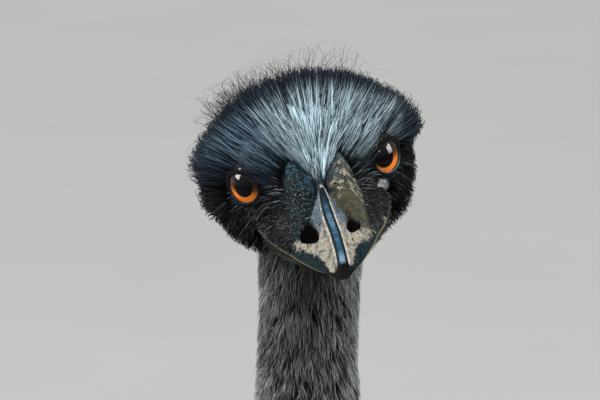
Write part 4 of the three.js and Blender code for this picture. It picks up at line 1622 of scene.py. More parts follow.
@dataclass(frozen=True)
class Fall:
    """How long feathers fall: down, back by less along their length, and aside from a parting."""

    back: float = 0.0
    fade: float = 0.0
    parted: float = 0.0
    spread: float = 0.0

    def __call__(self, places: Array, out: Array, share: float) -> Array:
        """The direction at each place, a share of the way along a feather."""
        way = np.tile([0.0, self.back - self.fade * share, -1.0], (len(places), 1))
        way[:, 0] = self.parted * np.where(places[:, 0] < 0, -1, 1) * np.maximum(0, out[:, 2])
        way[:, 0] += self.spread * places[:, 0]
        return way


DOWN = Fall()
DOWN_AND_BACK = Fall(back=0.35)
FROM_PARTING = Fall(back=0.6, fade=0.35, parted=0.55)
OVER_RUMP = Fall(back=0.4, fade=0.4, spread=0.002)


class BodyCoat:
    """The feathers of the neck, body, tail, wings and thighs."""

    REACH = (236.0, 474.0)

    def __init__(self, forms: EmuForms) -> None:
        """Takes the forms that it grows on."""
        self.forms = forms

    def outside(self, *others: Form) -> Test:
        """A test of which lines start outside other forms.

        Args:
            *others: The forms.

        Returns:
            The test.
        """

        def keep(lines: Array) -> Array:
            free = np.ones(len(lines), bool)
            for other in others:
                free &= ~other.holds(lines[:, 1], -6)
            wide, back = np.abs(lines[..., 0]), lines[..., 1]
            return free & ~np.any((wide > self.REACH[0]) | (back > self.REACH[1]), axis=1)

        return keep

    def neck(self) -> list[Coat]:
        """Short soft feathers at the top of the neck, longer and shaggier towards the breast.

        Returns:
            The coats.
        """
        form = self.forms.neck
        short = Plume(14, 0.56, 6, 2.6, steps=3, spread=3.5, gather=0.45, stray=0.22, dark=0.25)
        middle = Plume(44, 1.5, 10, 6, steps=3, tuft=7, spread=8, gather=0.5, stray=0.13, hangs=True)
        long = Plume(112, 3.0, 16, 15, tuft=7, spread=17, gather=0.45, stray=0.12, hangs=True)
        keep = self.outside(self.forms.skull)
        upper = Coat("neck_upper_feathers", 61)
        upper.grow(Patch(form, 0.64, 0.985, 0, 360, 1250), short, DOWN, self.neck_rim_light_and_chin_shade, keep)
        lower = Coat("neck_lower_feathers", 62)
        lower.grow(Patch(form, 0.4, 0.68, 0, 360, 420), middle, DOWN, self.neck_rim_light_and_chin_shade, keep)
        lower.grow(Patch(form, 0.1, 0.44, 0, 360, 330), long, DOWN, 0.2, self.outside())
        return [upper, lower]

    @staticmethod
    def neck_rim_light_and_chin_shade(places: Array) -> Array:
        """How pale the neck's feathers are: palest low and at the sides, where rim light is painted, and nearly black
        under the chin, painted shade.
        """
        # painted rim light at the sides and painted shade under the chin
        side = np.minimum(1.0, np.abs(places[..., 0] + 3.0) / 27.0)
        low = 1 - smooth(places[..., 2], 1455.0 + 60.0 * side, 1545.0 + 40.0 * side)
        return 0.1 + low * (0.75 + 1.0 * side**2)

    def torso(self) -> list[Coat]:
        """The long shaggy feathers that fall from the parting along the back.

        Returns:
            The coats.
        """
        body = Plume(205, 4.2, 26, 23, vary=0.32, tuft=7, spread=26, gather=0.4, stray=0.08, hangs=True)
        chest = Plume(150, 3.6, 26, 20, vary=0.3, tuft=7, spread=20, gather=0.45, stray=0.08, hangs=True)
        under = Plume(90, 3.2, 24, 6, steps=3, tuft=6, spread=22, gather=0.4, stray=0.12, hangs=True)
        coats = []
        forms = self.forms
        keep = self.outside(forms.neck, forms.tail)
        for word, low, high, seed in (("left", -12, 92, 71), ("right", 88, 192, 72)):
            coat = Coat(f"body_feathers_{word}", seed)
            coat.grow(Patch(forms.torso, 0.16, 0.97, low, high, 780), body, FROM_PARTING, 0.0, keep)
            coats.append(coat)
        coat = Coat("breast_feathers", 73)
        coat.grow(Patch(forms.torso, 0.02, 0.22, -90, 270, 330), chest, FROM_PARTING, 0.0, keep)
        coat.grow(Patch(forms.torso, 0.15, 0.97, 190, 350, 420), under, FROM_PARTING, 0.0, keep)
        coats.append(coat)
        return coats

    def tail(self) -> Coat:
        """The feathers that droop over the rump.

        Returns:
            The coat.
        """
        drooping = Plume(172, 4.0, 24, 17, tuft=7, spread=22, gather=0.4, stray=0.08, hangs=True)
        coat = Coat("tail_feathers", 81)
        keep = self.outside()
        coat.grow(Patch(self.forms.tail, 0.1, 0.97, -30, 210, 360), drooping, OVER_RUMP, 0.0, keep)
        coat.grow(Patch(self.forms.tail, 0.3, 0.97, 190, 350, 80), drooping, OVER_RUMP, 0.0, keep)
        return coat

    def wings(self) -> Coat:
        """The loose feathers of the two small wings.

        Returns:
            The coat.
        """
        loose = Plume(178, 3.6, 8, 14, tuft=6, spread=12, gather=0.4, stray=0.1, hangs=True)
        coat = Coat("wing_feathers", 91)
        for word, low, high in (("left", -60, 90), ("right", 90, 240)):
            form = self.forms.wings[word]
            coat.grow(Patch(form, 0.04, 0.9, low, high, 110), loose, DOWN_AND_BACK, 0.0, self.outside())
        return coat

    def thighs(self) -> Coat:
        """The feathers of the upper legs, shorter towards the hock.

        Returns:
            The coat.
        """
        high = Plume(112, 3.2, 10, 12, tuft=7, spread=14, gather=0.45, stray=0.12, hangs=True)
        low = Plume(46, 1.8, 5, 4, steps=3, tuft=7, spread=7, gather=0.45, stray=0.12, hangs=True)
        coat = Coat("thigh_feathers", 101)
        for word in ("left", "right"):
            form = self.forms.thighs[word]
            coat.grow(Patch(form, 0.2, 0.72, 0, 360, 270), high, DOWN_AND_BACK, 0.0, self.outside())
            coat.grow(Patch(form, 0.66, 0.93, 0, 360, 190), low, DOWN_AND_BACK, 0.0, self.outside())
        return coat


# Skin


class Skin:
    """One skin over the head, neck, body, tail, wings and thighs, under the feathers."""

    BODY_STEP = 7.0
    HEAD_STEP = 1.6
    FINE_BELOW_EYES = 150.0
    FINE_BORDER = 0.012
    HEAD_REACH = 110.0
    BEHIND_BILL = np.array([0.0, -40.0, 6.0])
    LID_THICKNESS = 1.7
    SOCKET_DEPTH = 2.0
    BROW_HEIGHT = 2.6
    EAR = (48.0, 24.0, -15.0)
    EAR_DEPTH = 5.0

    def __init__(self, forms: EmuForms, bill: BillForm) -> None:
        """Takes the forms that it lies in."""
        self.forms = forms
        self.bill = bill

    @staticmethod
    def neck_depth(t: Array) -> Array:
        """How deep the skin lies under the neck's feathers."""
        return -(7.0 + 11.0 * (1 - smooth(t, 0.1, 0.6)))

    @staticmethod
    def skull_depth(t: Array) -> Array:
        """How deep the skin lies under the head's feathers."""
        return -(1.2 + 3.3 * smooth(t, 0.1, 0.5))

    @staticmethod
    def thigh_depth(t: Array) -> Array:
        """How deep the skin lies under the thighs' feathers."""
        return -(12.0 - 10.0 * smooth(t, 0.3, 0.95))

    def head_parts(self) -> list[bpy.types.Object]:
        """The forms that make up the head's skin."""
        return [
            shaped("skull_form", self.forms.skull, 72, 56, self.skull_depth),
            shaped("neck_form", self.forms.neck, 64, 160, self.neck_depth),
        ]

    def build(self) -> bpy.types.Object:
        """Makes the skin.

        Returns:
            The finished piece.
        """
        forms = self.forms
        parts = self.head_parts() + [
            shaped("torso_form", forms.torso, 64, 48, -24.0),
            shaped("tail_form", forms.tail, 48, 32, -22.0),
        ]
        for _, word in SIDES:
            parts.append(shaped(f"wing_form_{word}", forms.wings[word], 32, 24, -6.0))
            parts.append(shaped(f"thigh_form_{word}", forms.thighs[word], 48, 32, self.thigh_depth))
        skin = fused(parts, "skin", self.BODY_STEP, 4)
        self.refine_head(skin)
        self.shape_head(skin)
        finish_mesh(skin)
        return skin

    def refine_head(self, skin: bpy.types.Object) -> None:
        """Gives the head and the top of the neck finer faces that lie on the finer form.

        Args:
            skin: The whole skin.
        """
        target = fused(self.head_parts(), "head_target", self.HEAD_STEP, 6)
        lowest = (STANCE.eye_height - self.FINE_BELOW_EYES) * MM
        choose(skin)
        for face in skin.data.polygons:
            face.select = face.center.z > lowest
        for edge in skin.data.edges:
            edge.select = all(skin.data.vertices[k].co.z > lowest for k in edge.vertices)
        bpy.ops.object.mode_set(mode="EDIT")
        bpy.ops.mesh.select_mode(type="FACE")
        bpy.ops.mesh.subdivide(number_cuts=3, smoothness=0.0)
        bpy.ops.object.mode_set(mode="OBJECT")
        group = skin.vertex_groups.new(name="head")
        places = corners(skin)
        fine = np.nonzero(places[:, 2] > lowest + self.FINE_BORDER)[0]
        group.add(fine.tolist(), 1.0, "REPLACE")
        modified(skin, "SHRINKWRAP", target=target, vertex_group="head")
        skin.vertex_groups.clear()
        bpy.data.objects.remove(target)

    def shape_head(self, skin: bpy.types.Object) -> None:
        """Sinks the eye sockets, raises the brows and fits the skin behind the bill.

        Args:
            skin: The whole skin.
        """
        places = corners(skin)
        own = in_head(skin)
        near = np.linalg.norm(own, axis=1) < self.HEAD_REACH
        head = self.behind_bill(own[near])
        for side, _ in SIDES:
            head = self.ear_hole(self.round_eye(head, side), side)
        places[near] = moved(head, STANCE.to_world(HEAD))
        set_corners(skin, places)
        self.mark(skin)

    def behind_bill(self, head: Array) -> Array:
        """Lays what would stand inside the bill on a plane behind its horn.

        Args:
            head: Places in the head's frame.

        Returns:
            The places that they move to.
        """
        normal = unit(np.array([0.0, -28.5, -26.0]))
        ahead = dot(head - self.BEHIND_BILL, normal) * smooth(head[:, 2], -37.0, -27.0)[:, None]
        head = np.where(ahead > 0, head - normal * ahead, head)
        under = bell(np.abs(head[:, 0]), 10.0, 8.0) * smooth(-head[:, 1], 13.0, 20.0) * (head[:, 2] > -10.0)
        head[:, 2] -= 3.5 * under
        return head

    def round_eye(self, head: Array, side: int) -> Array:
        """Covers the eyeball but for its opening, and raises the brow over it.

        Args:
            head: Places in the head's frame.
            side: 1 for the bird's left, -1 for its right.

        Returns:
            The places that they move to.
        """
        frame = EYE.frame(side)
        own = within(head, frame)
        across = np.sqrt((own[:, 0] / EYE.wide) ** 2 + (own[:, 2] / EYE.high) ** 2)
        facing = own[:, 1] < 2.0
        ray = unit(own)
        reach = np.linalg.norm(own, axis=1)
        reach = np.where(own[:, 1] < 10.0, np.maximum(reach, EYE.radius + self.LID_THICKNESS), reach)
        inside = (1 - smooth(across, 0.98, 1.17)) * facing
        reach = reach * (1 - inside) + (EYE.radius - self.SOCKET_DEPTH) * inside
        brow = bell(own[:, 0], 1.0, 11.0) * bell(own[:, 2], 14.5, 4.5) * facing
        reach = reach + self.BROW_HEIGHT * brow
        return moved(ray * reach[:, None], frame)

    def ear_hole(self, head: Array, side: int) -> Array:
        """Sinks the ear behind and below the eye.

        Args:
            head: Places in the head's frame.
            side: 1 for the bird's left, -1 for its right.

        Returns:
            The places that they move to.
        """
        _, back, up = self.EAR
        near = np.exp(-(((head[:, 1] - back) / 5.0) ** 2) - (((head[:, 2] - up) / 6.0) ** 2))
        head[:, 0] -= side * self.EAR_DEPTH * (near * (np.sign(head[:, 0]) == side))
        return head

    @staticmethod
    def mark(skin: bpy.types.Object) -> None:
        """Stores where the head's dark skin, its bare pale patch and its blue skin are.

        Args:
            skin: The whole skin.
        """
        own = in_head(skin)
        attribute(skin, "head", 1 - smooth(np.linalg.norm(own, axis=1), 75.0, 120.0))
        away = own - np.array(BARE_PATCH)
        flat = np.hypot(away[:, 0] / 3.7, (away[:, 2] + TILT * away[:, 1]) / 3.4)
        attribute(skin, "patch", (1 - smooth(flat, 0.75, 1.1)) * (own[:, 1] < 15.0))
        blue = np.zeros(len(own))
        for side, _ in SIDES:
            away = own - np.array([side * 48.0, 22.0, -15.0])
            blue = np.maximum(blue, 1 - smooth(np.linalg.norm(away, axis=1), 8.0, 26.0))
        attribute(skin, "blue", blue)


@dataclass(frozen=True)
class SkinFinish:
    """Bare skin: dark on the head, grey-brown on the body, with pale and blue places."""

    dark: Colour = (0.003, 0.0035, 0.0045)
    body: Colour = (0.035, 0.028, 0.022)
    blue: Colour = (0.06, 0.12, 0.18)
    pale: Colour = (0.52, 0.57, 0.6)
    fleck: Colour = (0.3, 0.2, 0.1)

    def material(self) -> bpy.types.Material:
        """Builds the material.

        Returns:
            The material.
        """
        shader = Paint("bare_skin")
        mottle = shader.step(shader.noise(160.0, 4.0), 0.4, 0.62)
        head = shader.mix(mottle, self.dark, (0.008, 0.01, 0.013))
        base = shader.mix(shader.value("head"), self.body, head)
        base = shader.mix(shader.times(shader.value("blue"), mottle), base, self.blue)
        pale = shader.mix(shader.step(shader.noise(520.0, 2.0), 0.53, 0.6), self.pale, self.fleck)
        base = shader.mix(shader.value("patch"), base, pale)
        normal = shader.creased(420.0, 0.0004, 0.7)
        return shader.done(Base_Color=base, Roughness=0.65, Specular_IOR_Level=0.08, Normal=normal)


# Bill


class Bill:
    """The two halves of the bill."""

    def __init__(self, forms: EmuForms, form: BillForm) -> None:
        """Takes the forms that they lie on."""
        self.forms = forms
        self.form = form

    def upper(self) -> bpy.types.Object:
        """The upper half, with its ridge, nasal bulges, nostrils and hooked nail.

        Returns:
            The finished piece.
        """
        piece, form = shaped("bill_upper_horn", self.form, 210, 236), self.form
        own = in_head(piece)
        ahead, out = -own[:, 1], own[:, 0]
        top = own[:, 2] > form.gape(ahead) - 1.0
        edge = np.abs(out) / np.maximum(form.half(ahead), 0.1)
        ridge = form.from_ridge(ahead, out) / np.interp(ahead, *form.RIDGE_HALF)
        for name, values in (("ahead", ahead), ("out", out), ("edge", np.where(top, edge, 1.0)), ("ridge", ridge)):
            attribute(piece, name, values)
        for name, measure in (("flap", form.flap), ("horn", form.horn), ("pit", form.pit)):
            attribute(piece, name, measure(ahead, out))
        finish_mesh(piece)
        return piece

    def lower(self) -> bpy.types.Object:
        """The lower half, flat where it meets the upper.

        Returns:
            The finished piece.
        """
        piece = shaped("bill_lower_horn", self.forms.jaw, 64, 48)
        own = in_head(piece)
        own[:, 2] = np.minimum(own[:, 2], self.form.gape(-own[:, 1]) - 0.3)
        set_in_head(piece, own)
        finish_mesh(piece)
        return piece


@dataclass(frozen=True)
class BillFinish:
    """Worn horn: a steel-blue ridge with navy edges and painted highlights, cream lines, lilac planes and tan sides."""

    navy: Colour = (0.004, 0.009, 0.014)
    steel: Colour = (0.022, 0.065, 0.11)
    # the ridge's pale blue, partly worn horn and partly a painted highlight
    worn: Colour = (0.2, 0.32, 0.42)
    cream: Colour = (0.55, 0.51, 0.42)
    tan: Colour = (0.325, 0.288, 0.225)
    lilac: Colour = (0.085, 0.13, 0.185)
    teal: Colour = (0.002, 0.007, 0.009)
    nail: Colour = (0.0015, 0.0015, 0.002)
    skin: Colour = (0.0015, 0.004, 0.006)
    olive: Colour = (0.072, 0.066, 0.042)

    def upper(self) -> bpy.types.Material:
        """Builds the upper half's material.

        Returns:
            The material.
        """
        shader = Paint("upper_bill")
        value, step, mix, over, noise = shader.value, shader.step, shader.mix, shader.over, shader.noise
        times, total = shader.times, shader.sum
        ahead, ridge, out, edge = (value(name) for name in ("ahead", "ridge", "out", "edge"))
        place = shader.vector(out, ahead)
        grain, fine = noise(300.0, 5.0), noise(1200.0, 4.0)
        # The ridge: a steel-blue middle between near-black edges, worn paler in spots and at the tip, partly painted
        # highlight
        spot = times(step(ahead, 57.0, 62.0), step(ahead, 72.0, 66.0))
        wear = total("MAXIMUM", times(spot, step(fine, 0.46, 0.62)), times(step(ahead, 84.0, 91.0), 0.8))
        bands = shader.add("TexWave", {"Vector": place, "Scale": 0.05, "Distortion": 8.0}, bands_direction="Y")
        wear = total("MAXIMUM", wear, times(step(bands.outputs["Fac"], 0.6, 1.0), 0.16))
        middle = mix(step(ahead, 58.0, 44.0), mix(wear, self.steel, self.worn), self.navy)
        worn_edge = total("MULTIPLY_ADD", total("SUBTRACT", fine, 0.5), 0.7, ridge)
        top = mix(step(worn_edge, 0.3, 0.72), middle, self.navy)
        # The flanks: lilac beside the ridge, then tan with cross marks, blotched dark at the edge
        side = mix(step(total("ADD", ahead, times(grain, 12.0)), 64.0, 72.0), self.lilac, self.tan)
        side = mix(step(edge, 0.45, 0.62), side, self.tan)
        streak = noise(0.5, 5.0, shader.vector(times(out, 2.4), times(ahead, 0.25), 3.0))
        side = over(side, (0.13, 0.13, 0.115), step(streak, 0.5, 0.62), 0.5)
        side = over(side, self.cream, step(fine, 0.52, 0.62), 0.45)
        side = over(side, (0.08, 0.1, 0.108), step(noise(200.0, 6.0), 0.48, 0.62), 0.75)
        side = over(side, (0.012, 0.017, 0.018), step(noise(620.0, 5.0), 0.56, 0.62), 0.85)
        rim = total("ADD", edge, total("ADD", times(grain, 0.34), times(fine, 0.28)))
        limit = total("MULTIPLY_ADD", step(ahead, 58.0, 84.0), -0.26, 1.2)
        # painted glints: paler blue-green spots in the dark band along the cutting edge
        band = over(self.teal, (0.03, 0.07, 0.08), step(fine, 0.5, 0.62), 0.5)
        side = mix(step(total("SUBTRACT", rim, limit), -0.015, 0.02), side, band)
        line = times(step(ridge, 0.95, 1.1), step(ridge, 1.5, 1.25))
        horn = over(side, self.cream, line, total("MULTIPLY_ADD", step(grain, 0.44, 0.54), 0.75, 0.2))
        horn = mix(step(ridge, 1.08, 0.94), horn, top)
        horn = mix(step(ahead, 40.2, 39.2), horn, self.cream)
        # Bare dark skin behind the horn: blue-black on the right with painted glints, olive and flecked on the left
        left = times(step(out, 3.0, 6.0), step(out, 21.5, 18.5))
        high = times(left, step(ahead, 48.0, 38.0))
        skin = over(mix(left, self.skin, self.olive), (0.03, 0.035, 0.03), step(grain, 0.5, 0.58), left)
        spots = times(step(noise(0.26, 5.0, place), 0.5, 0.57), high)
        skin = over(skin, self.tan, spots, step(ahead, 17.0, 22.0), 0.9)
        blue = times(step(noise(0.2, 3.0, place), 0.42, 0.54), step(ahead, 40.0, 30.0))
        skin = over(skin, (0.025, 0.08, 0.13), blue, step(total("ABSOLUTE", out), 13.0, 8.0), 0.85)
        summit = times(left, times(step(ahead, 27.0, 20.0), step(grain, 0.4, 0.5)))
        skin = over(skin, (0.03, 0.075, 0.1), summit, 0.8)
        skin = over(skin, (0.003, 0.004, 0.004), step(noise(0.9, 4.0, place), 0.55, 0.6), high)
        right = times(step(out, -3.0, -6.0), step(out, -21.5, -19.0))
        skin = over(skin, (0.006, 0.017, 0.021), right, step(noise(0.55, 4.0, place), 0.45, 0.6))
        skin = over(skin, (0.02, 0.065, 0.1), right, step(ahead, 28.0, 19.0), step(grain, 0.42, 0.54), 0.85)
        # painted glints: pale grey-blue flecks on the right bulge
        skin = over(skin, (0.16, 0.22, 0.24), right, step(noise(1.1, 3.0, place), 0.6, 0.66), 0.7)
        skin = over(skin, self.cream, step(fine, 0.6, 0.66), 0.25)
        dome = mix(step(grain, 0.4, 0.64), self.olive, (0.04, 0.038, 0.026))
        skin = mix(step(value("flap"), 0.3, 0.5), skin, dome)
        # The whole: skin and horn with a ragged border, the lip's pale line, the nail, and the nostrils painted near
        # black inside as painted shade
        border = total("ADD", value("horn"), times(total("SUBTRACT", grain, 0.5), 9.0))
        colour = mix(step(border, -1.5, 1.5), skin, horn)
        colour = over(colour, (0.2, 0.165, 0.09), step(edge, 0.984, 0.996), 0.75)
        colour = mix(step(ahead, 91.5, 94.0), colour, self.nail)
        # painted shade: the inside of each nostril is painted near black
        colour = mix(step(value("pit"), 0.02, 0.3), colour, (0.003, 0.0018, 0.0015))
        pores = shader.group(fine_creases(), {"Vector": place, "Scale": 0.9})
        normal = shader.bump(total("MULTIPLY_ADD", pores, 0.6, times(fine, 0.8)), 0.0004, 0.6)
        rough = total("MULTIPLY_ADD", grain, 0.3, 0.26)
        return shader.done(Base_Color=colour, Roughness=rough, Specular_IOR_Level=0.05, Normal=normal)

    def lower(self) -> bpy.types.Material:
        """Builds the lower half's material: its dark horn painted near black, as painted shade under the upper bill.

        Returns:
            The material.
        """
        shader = Paint("lower_bill")
        grain = shader.noise(300.0, 4.0)
        # painted shade: the lower half is painted near black for the shade under the upper bill, over its own dark horn
        base = shader.mix(shader.step(grain, 0.4, 0.62), self.nail, (0.007, 0.008, 0.008))
        rough, normal = shader.sum("MULTIPLY_ADD", grain, 0.3, 0.45), shader.bump(grain, 0.0003, 0.6)
        return shader.done(Base_Color=base, Roughness=rough, Specular_IOR_Level=0.05, Normal=normal)


# Eyes


@dataclass(frozen=True)
class Eye:
    """An eyeball and its lids, on side 1, the bird's left, or -1, its right."""

    side: int
    word: str

    def ball(self) -> bpy.types.Object:
        """The eyeball, with a bulge over its iris.

        Returns:
            The finished piece.
        """
        piece = ball(f"eyeball_{self.word}", 72, 48)
        start = corners(piece)
        own = np.stack([start[:, 0], -start[:, 2], start[:, 1]], axis=1)
        tilt = math.asin(EYE.iris_up / EYE.radius)
        off = np.arccos(np.clip(own @ np.array([0.0, -math.cos(tilt), math.sin(tilt)]), -1, 1))
        own = own * (EYE.radius + 0.9 * np.exp(-((off / 0.5) ** 2)))[:, None]
        layer = piece.data.uv_layers.active or piece.data.uv_layers.new(name="look")
        layer.name = "look"
        index = np.empty(len(piece.data.loops), np.int32)
        piece.data.loops.foreach_get("vertex_index", index)
        flat = np.stack([own[:, 0] * self.side, own[:, 2] - EYE.iris_up], axis=1) / EYE.radius
        layer.data.foreach_set("uv", flat[index].ravel().astype(np.float32))
        gaze = EYE.gaze_left if self.side > 0 else EYE.gaze_right
        set_in_head(piece, moved(own, EYE.frame(self.side, gaze)))
        finish_mesh(piece)
        return piece

    def lids(self) -> bpy.types.Object:
        """The soft rim of skin round the eye.

        Returns:
            The finished piece.
        """
        deselect()
        bpy.ops.mesh.primitive_torus_add(major_segments=96, minor_segments=24, major_radius=1.0, minor_radius=0.4)
        piece = added(f"lids_{self.word}")
        start = corners(piece)
        turn = np.arctan2(start[:, 1], start[:, 0])
        ring = np.hypot(start[:, 0], start[:, 1]) - 1.0
        roll = np.arctan2(start[:, 2], -ring)
        upper = smooth(np.sin(turn), -0.2, 0.7)
        wide, high = EYE.wide, EYE.high
        tilt = np.arcsin(np.sqrt((wide * np.cos(turn)) ** 2 + (high * np.sin(turn)) ** 2) / EYE.radius)
        tilt = tilt * (1.15 + 0.03 * upper - 0.17 * np.cos(roll))
        way = np.arctan2(high * np.sin(turn), wide * np.cos(turn))
        above = np.sin(roll)
        crease = 0.22 * np.sin(roll * 5.0) * np.maximum(above, 0) * (0.6 + 0.4 * upper)
        reach = EYE.radius + np.where(above > 0, (1.2 + 0.5 * upper) * above, 1.6 * above) + crease
        own = np.stack([np.sin(tilt) * np.cos(way), -np.cos(tilt), np.sin(tilt) * np.sin(way)], axis=1)
        lower_edge = smooth(np.cos(roll), 0.6, 0.95) * (1 - smooth(np.sin(turn), -0.8, -0.1))
        attribute(piece, "rim", lower_edge * (1.0 if self.side > 0 else 0.35))
        set_in_head(piece, moved(own * reach[:, None], EYE.frame(self.side)))
        finish_mesh(piece)
        return piece


@dataclass(frozen=True)
class EyeFinish:
    """A wet eye: an orange iris round a black pupil, brightest below with painted light and darkened at its top with
    painted shade from the brow.
    """

    pupil: Colour = (0.002, 0.002, 0.002)
    # painted light and shade: the iris's lit lower orange, its middle, then its top darkened by painted shade from the
    # brow
    lit_orange: Colour = (0.78, 0.2, 0.02)
    deep: Colour = (0.12, 0.045, 0.016)
    painted_shade: Colour = (0.02, 0.012, 0.008)
    rim: Colour = (0.004, 0.002, 0.0015)
    pupil_radius: float = 0.385
    iris_radius: float = 0.68

    def material(self) -> bpy.types.Material:
        """Builds the material.

        Returns:
            The material.
        """
        shader = Paint("wet_eye")
        look = shader.add("UVMap", uv_map="look").outputs["UV"]
        across, up = shader.add("SeparateXYZ", {0: look}).outputs[:2]
        reach = shader.add("VectorMath", {0: look}, operation="LENGTH").outputs["Value"]
        turn = shader.sum("ARCTAN2", up, across)
        fibres = shader.noise(2.4, 5.0, shader.vector(shader.times(turn, 6.0), shader.times(reach, 3.0)))
        height = shader.sum("DIVIDE", up, shader.sum("MAXIMUM", reach, 0.01))
        # painted light and shade: the iris is painted brightest below, where light falls into it, and darkest at its
        # top, shaded by the brow
        lowness = shader.sum("SUBTRACT", shader.times(across, 0.3), height)
        iris = shader.mix(shader.step(lowness, -0.45, 0.75), self.painted_shade, self.deep)
        iris = shader.mix(shader.step(lowness, 0.1, 0.85), iris, self.lit_orange)
        iris = shader.shaded(iris, shader.sum("MULTIPLY_ADD", fibres, 0.7, 0.62))
        iris = shader.mix(shader.step(reach, self.iris_radius - 0.06, self.iris_radius), iris, self.rim)
        inward = shader.add("VectorMath", {0: look, 1: (0.045, 0.0, 0.0)}, operation="ADD").outputs["Vector"]
        hole = shader.add("VectorMath", {0: inward}, operation="LENGTH").outputs["Value"]
        iris = shader.mix(shader.step(hole, self.pupil_radius + 0.015, self.pupil_radius - 0.015), iris, self.pupil)
        gloss = shader.sum("MULTIPLY_ADD", shader.step(up, 0.0, 0.28), 0.88, 0.12)
        wet = {"Coat_Weight": gloss, "Coat_Roughness": 0.02, "Coat_IOR": 1.5}
        return shader.done(Base_Color=iris, Roughness=0.5, Specular_IOR_Level=0.0, **wet)


@dataclass(frozen=True)
class LidFinish:
    """Lids of dark creased skin with a pale grey lower rim."""

    dark: Colour = (0.002, 0.002, 0.0025)
    pale: Colour = (0.2, 0.22, 0.25)

    def material(self) -> bpy.types.Material:
        """Builds the material.

        Returns:
            The material.
        """
        shader = Paint("lid_skin")
        mottle = shader.step(shader.noise(500.0), 0.36, 0.6)
        amount = shader.times(shader.value("rim"), shader.sum("MULTIPLY_ADD", mottle, 0.5, 0.3))
        colour = shader.mix(amount, self.dark, self.pale)
        normal = shader.creased(700.0, 0.0003, 0.7)
        return shader.done(Base_Color=colour, Roughness=0.6, Specular_IOR_Level=0.07, Normal=normal)


# Legs and feet


@dataclass(frozen=True)
class Leg:
    """A scaly lower leg and foot, on side 1, the bird's left, or -1, its right."""

    form: Form
    side: int
    word: str

    STEP = 2.9

    def skin(self) -> bpy.types.Object:
        """The lower leg and its toes in one skin.

        Returns:
            The finished piece.
        """
        parts = [shaped("shank_form", self.form, 48, 64, -0.8)]
        parts += [shaped(f"toe_form_{toe.name}", toe.form(self.side), 40, 36, -0.6) for toe in TOES]
        leg = fused(parts, f"leg_{self.word}", self.STEP, 5)
        stand(leg)
        finish_mesh(leg)
        return leg

    def scales(self) -> bpy.types.Object:
        """Raised scutes down the shank and over the toes.

        Returns:
            The finished piece.
        """
        draw = np.random.default_rng(200 + self.side)
        plates = Plates(f"scutes_{self.word}")
        for row in range(44):
            plates.add(self.form, 0.1 + 0.76 * row / 43, 0.0168, 270, 74, 1.5, draw, bend=0.004)
        for row in range(52):
            shift = 11 if row % 2 else 0
            for turn in range(-36, 207, 22):
                plates.add(self.form, 0.08 + 0.82 * row / 51, 0.0135, turn + shift, 17, 0.8, draw)
        for toe in TOES:
            form = toe.form(self.side)
            rows = int(toe.length / 6.4)
            for row in range(rows):
                t = 0.24 + 0.7 * row / (rows - 1)
                plates.add(form, t, 0.56 / rows, 90, 104, 1.2, draw, bend=0.01)
                for turn in (12, 168):
                    plates.add(form, t, 0.4 / rows, turn, 30, 0.7, draw)
        return plates.piece()

    def claws(self) -> bpy.types.Object:
        """The three claws of the foot.

        Returns:
            The finished piece.
        """
        parts = [shaped(f"claw_form_{toe.name}", toe.claw_form(self.side), 32, 28) for toe in TOES]
        claws = joined(parts, f"claws_{self.word}")
        stand(claws)
        attribute(claws, "tip", smooth(-corners(claws)[:, 1], 0.04, 0.1))
        finish_mesh(claws)
        return claws


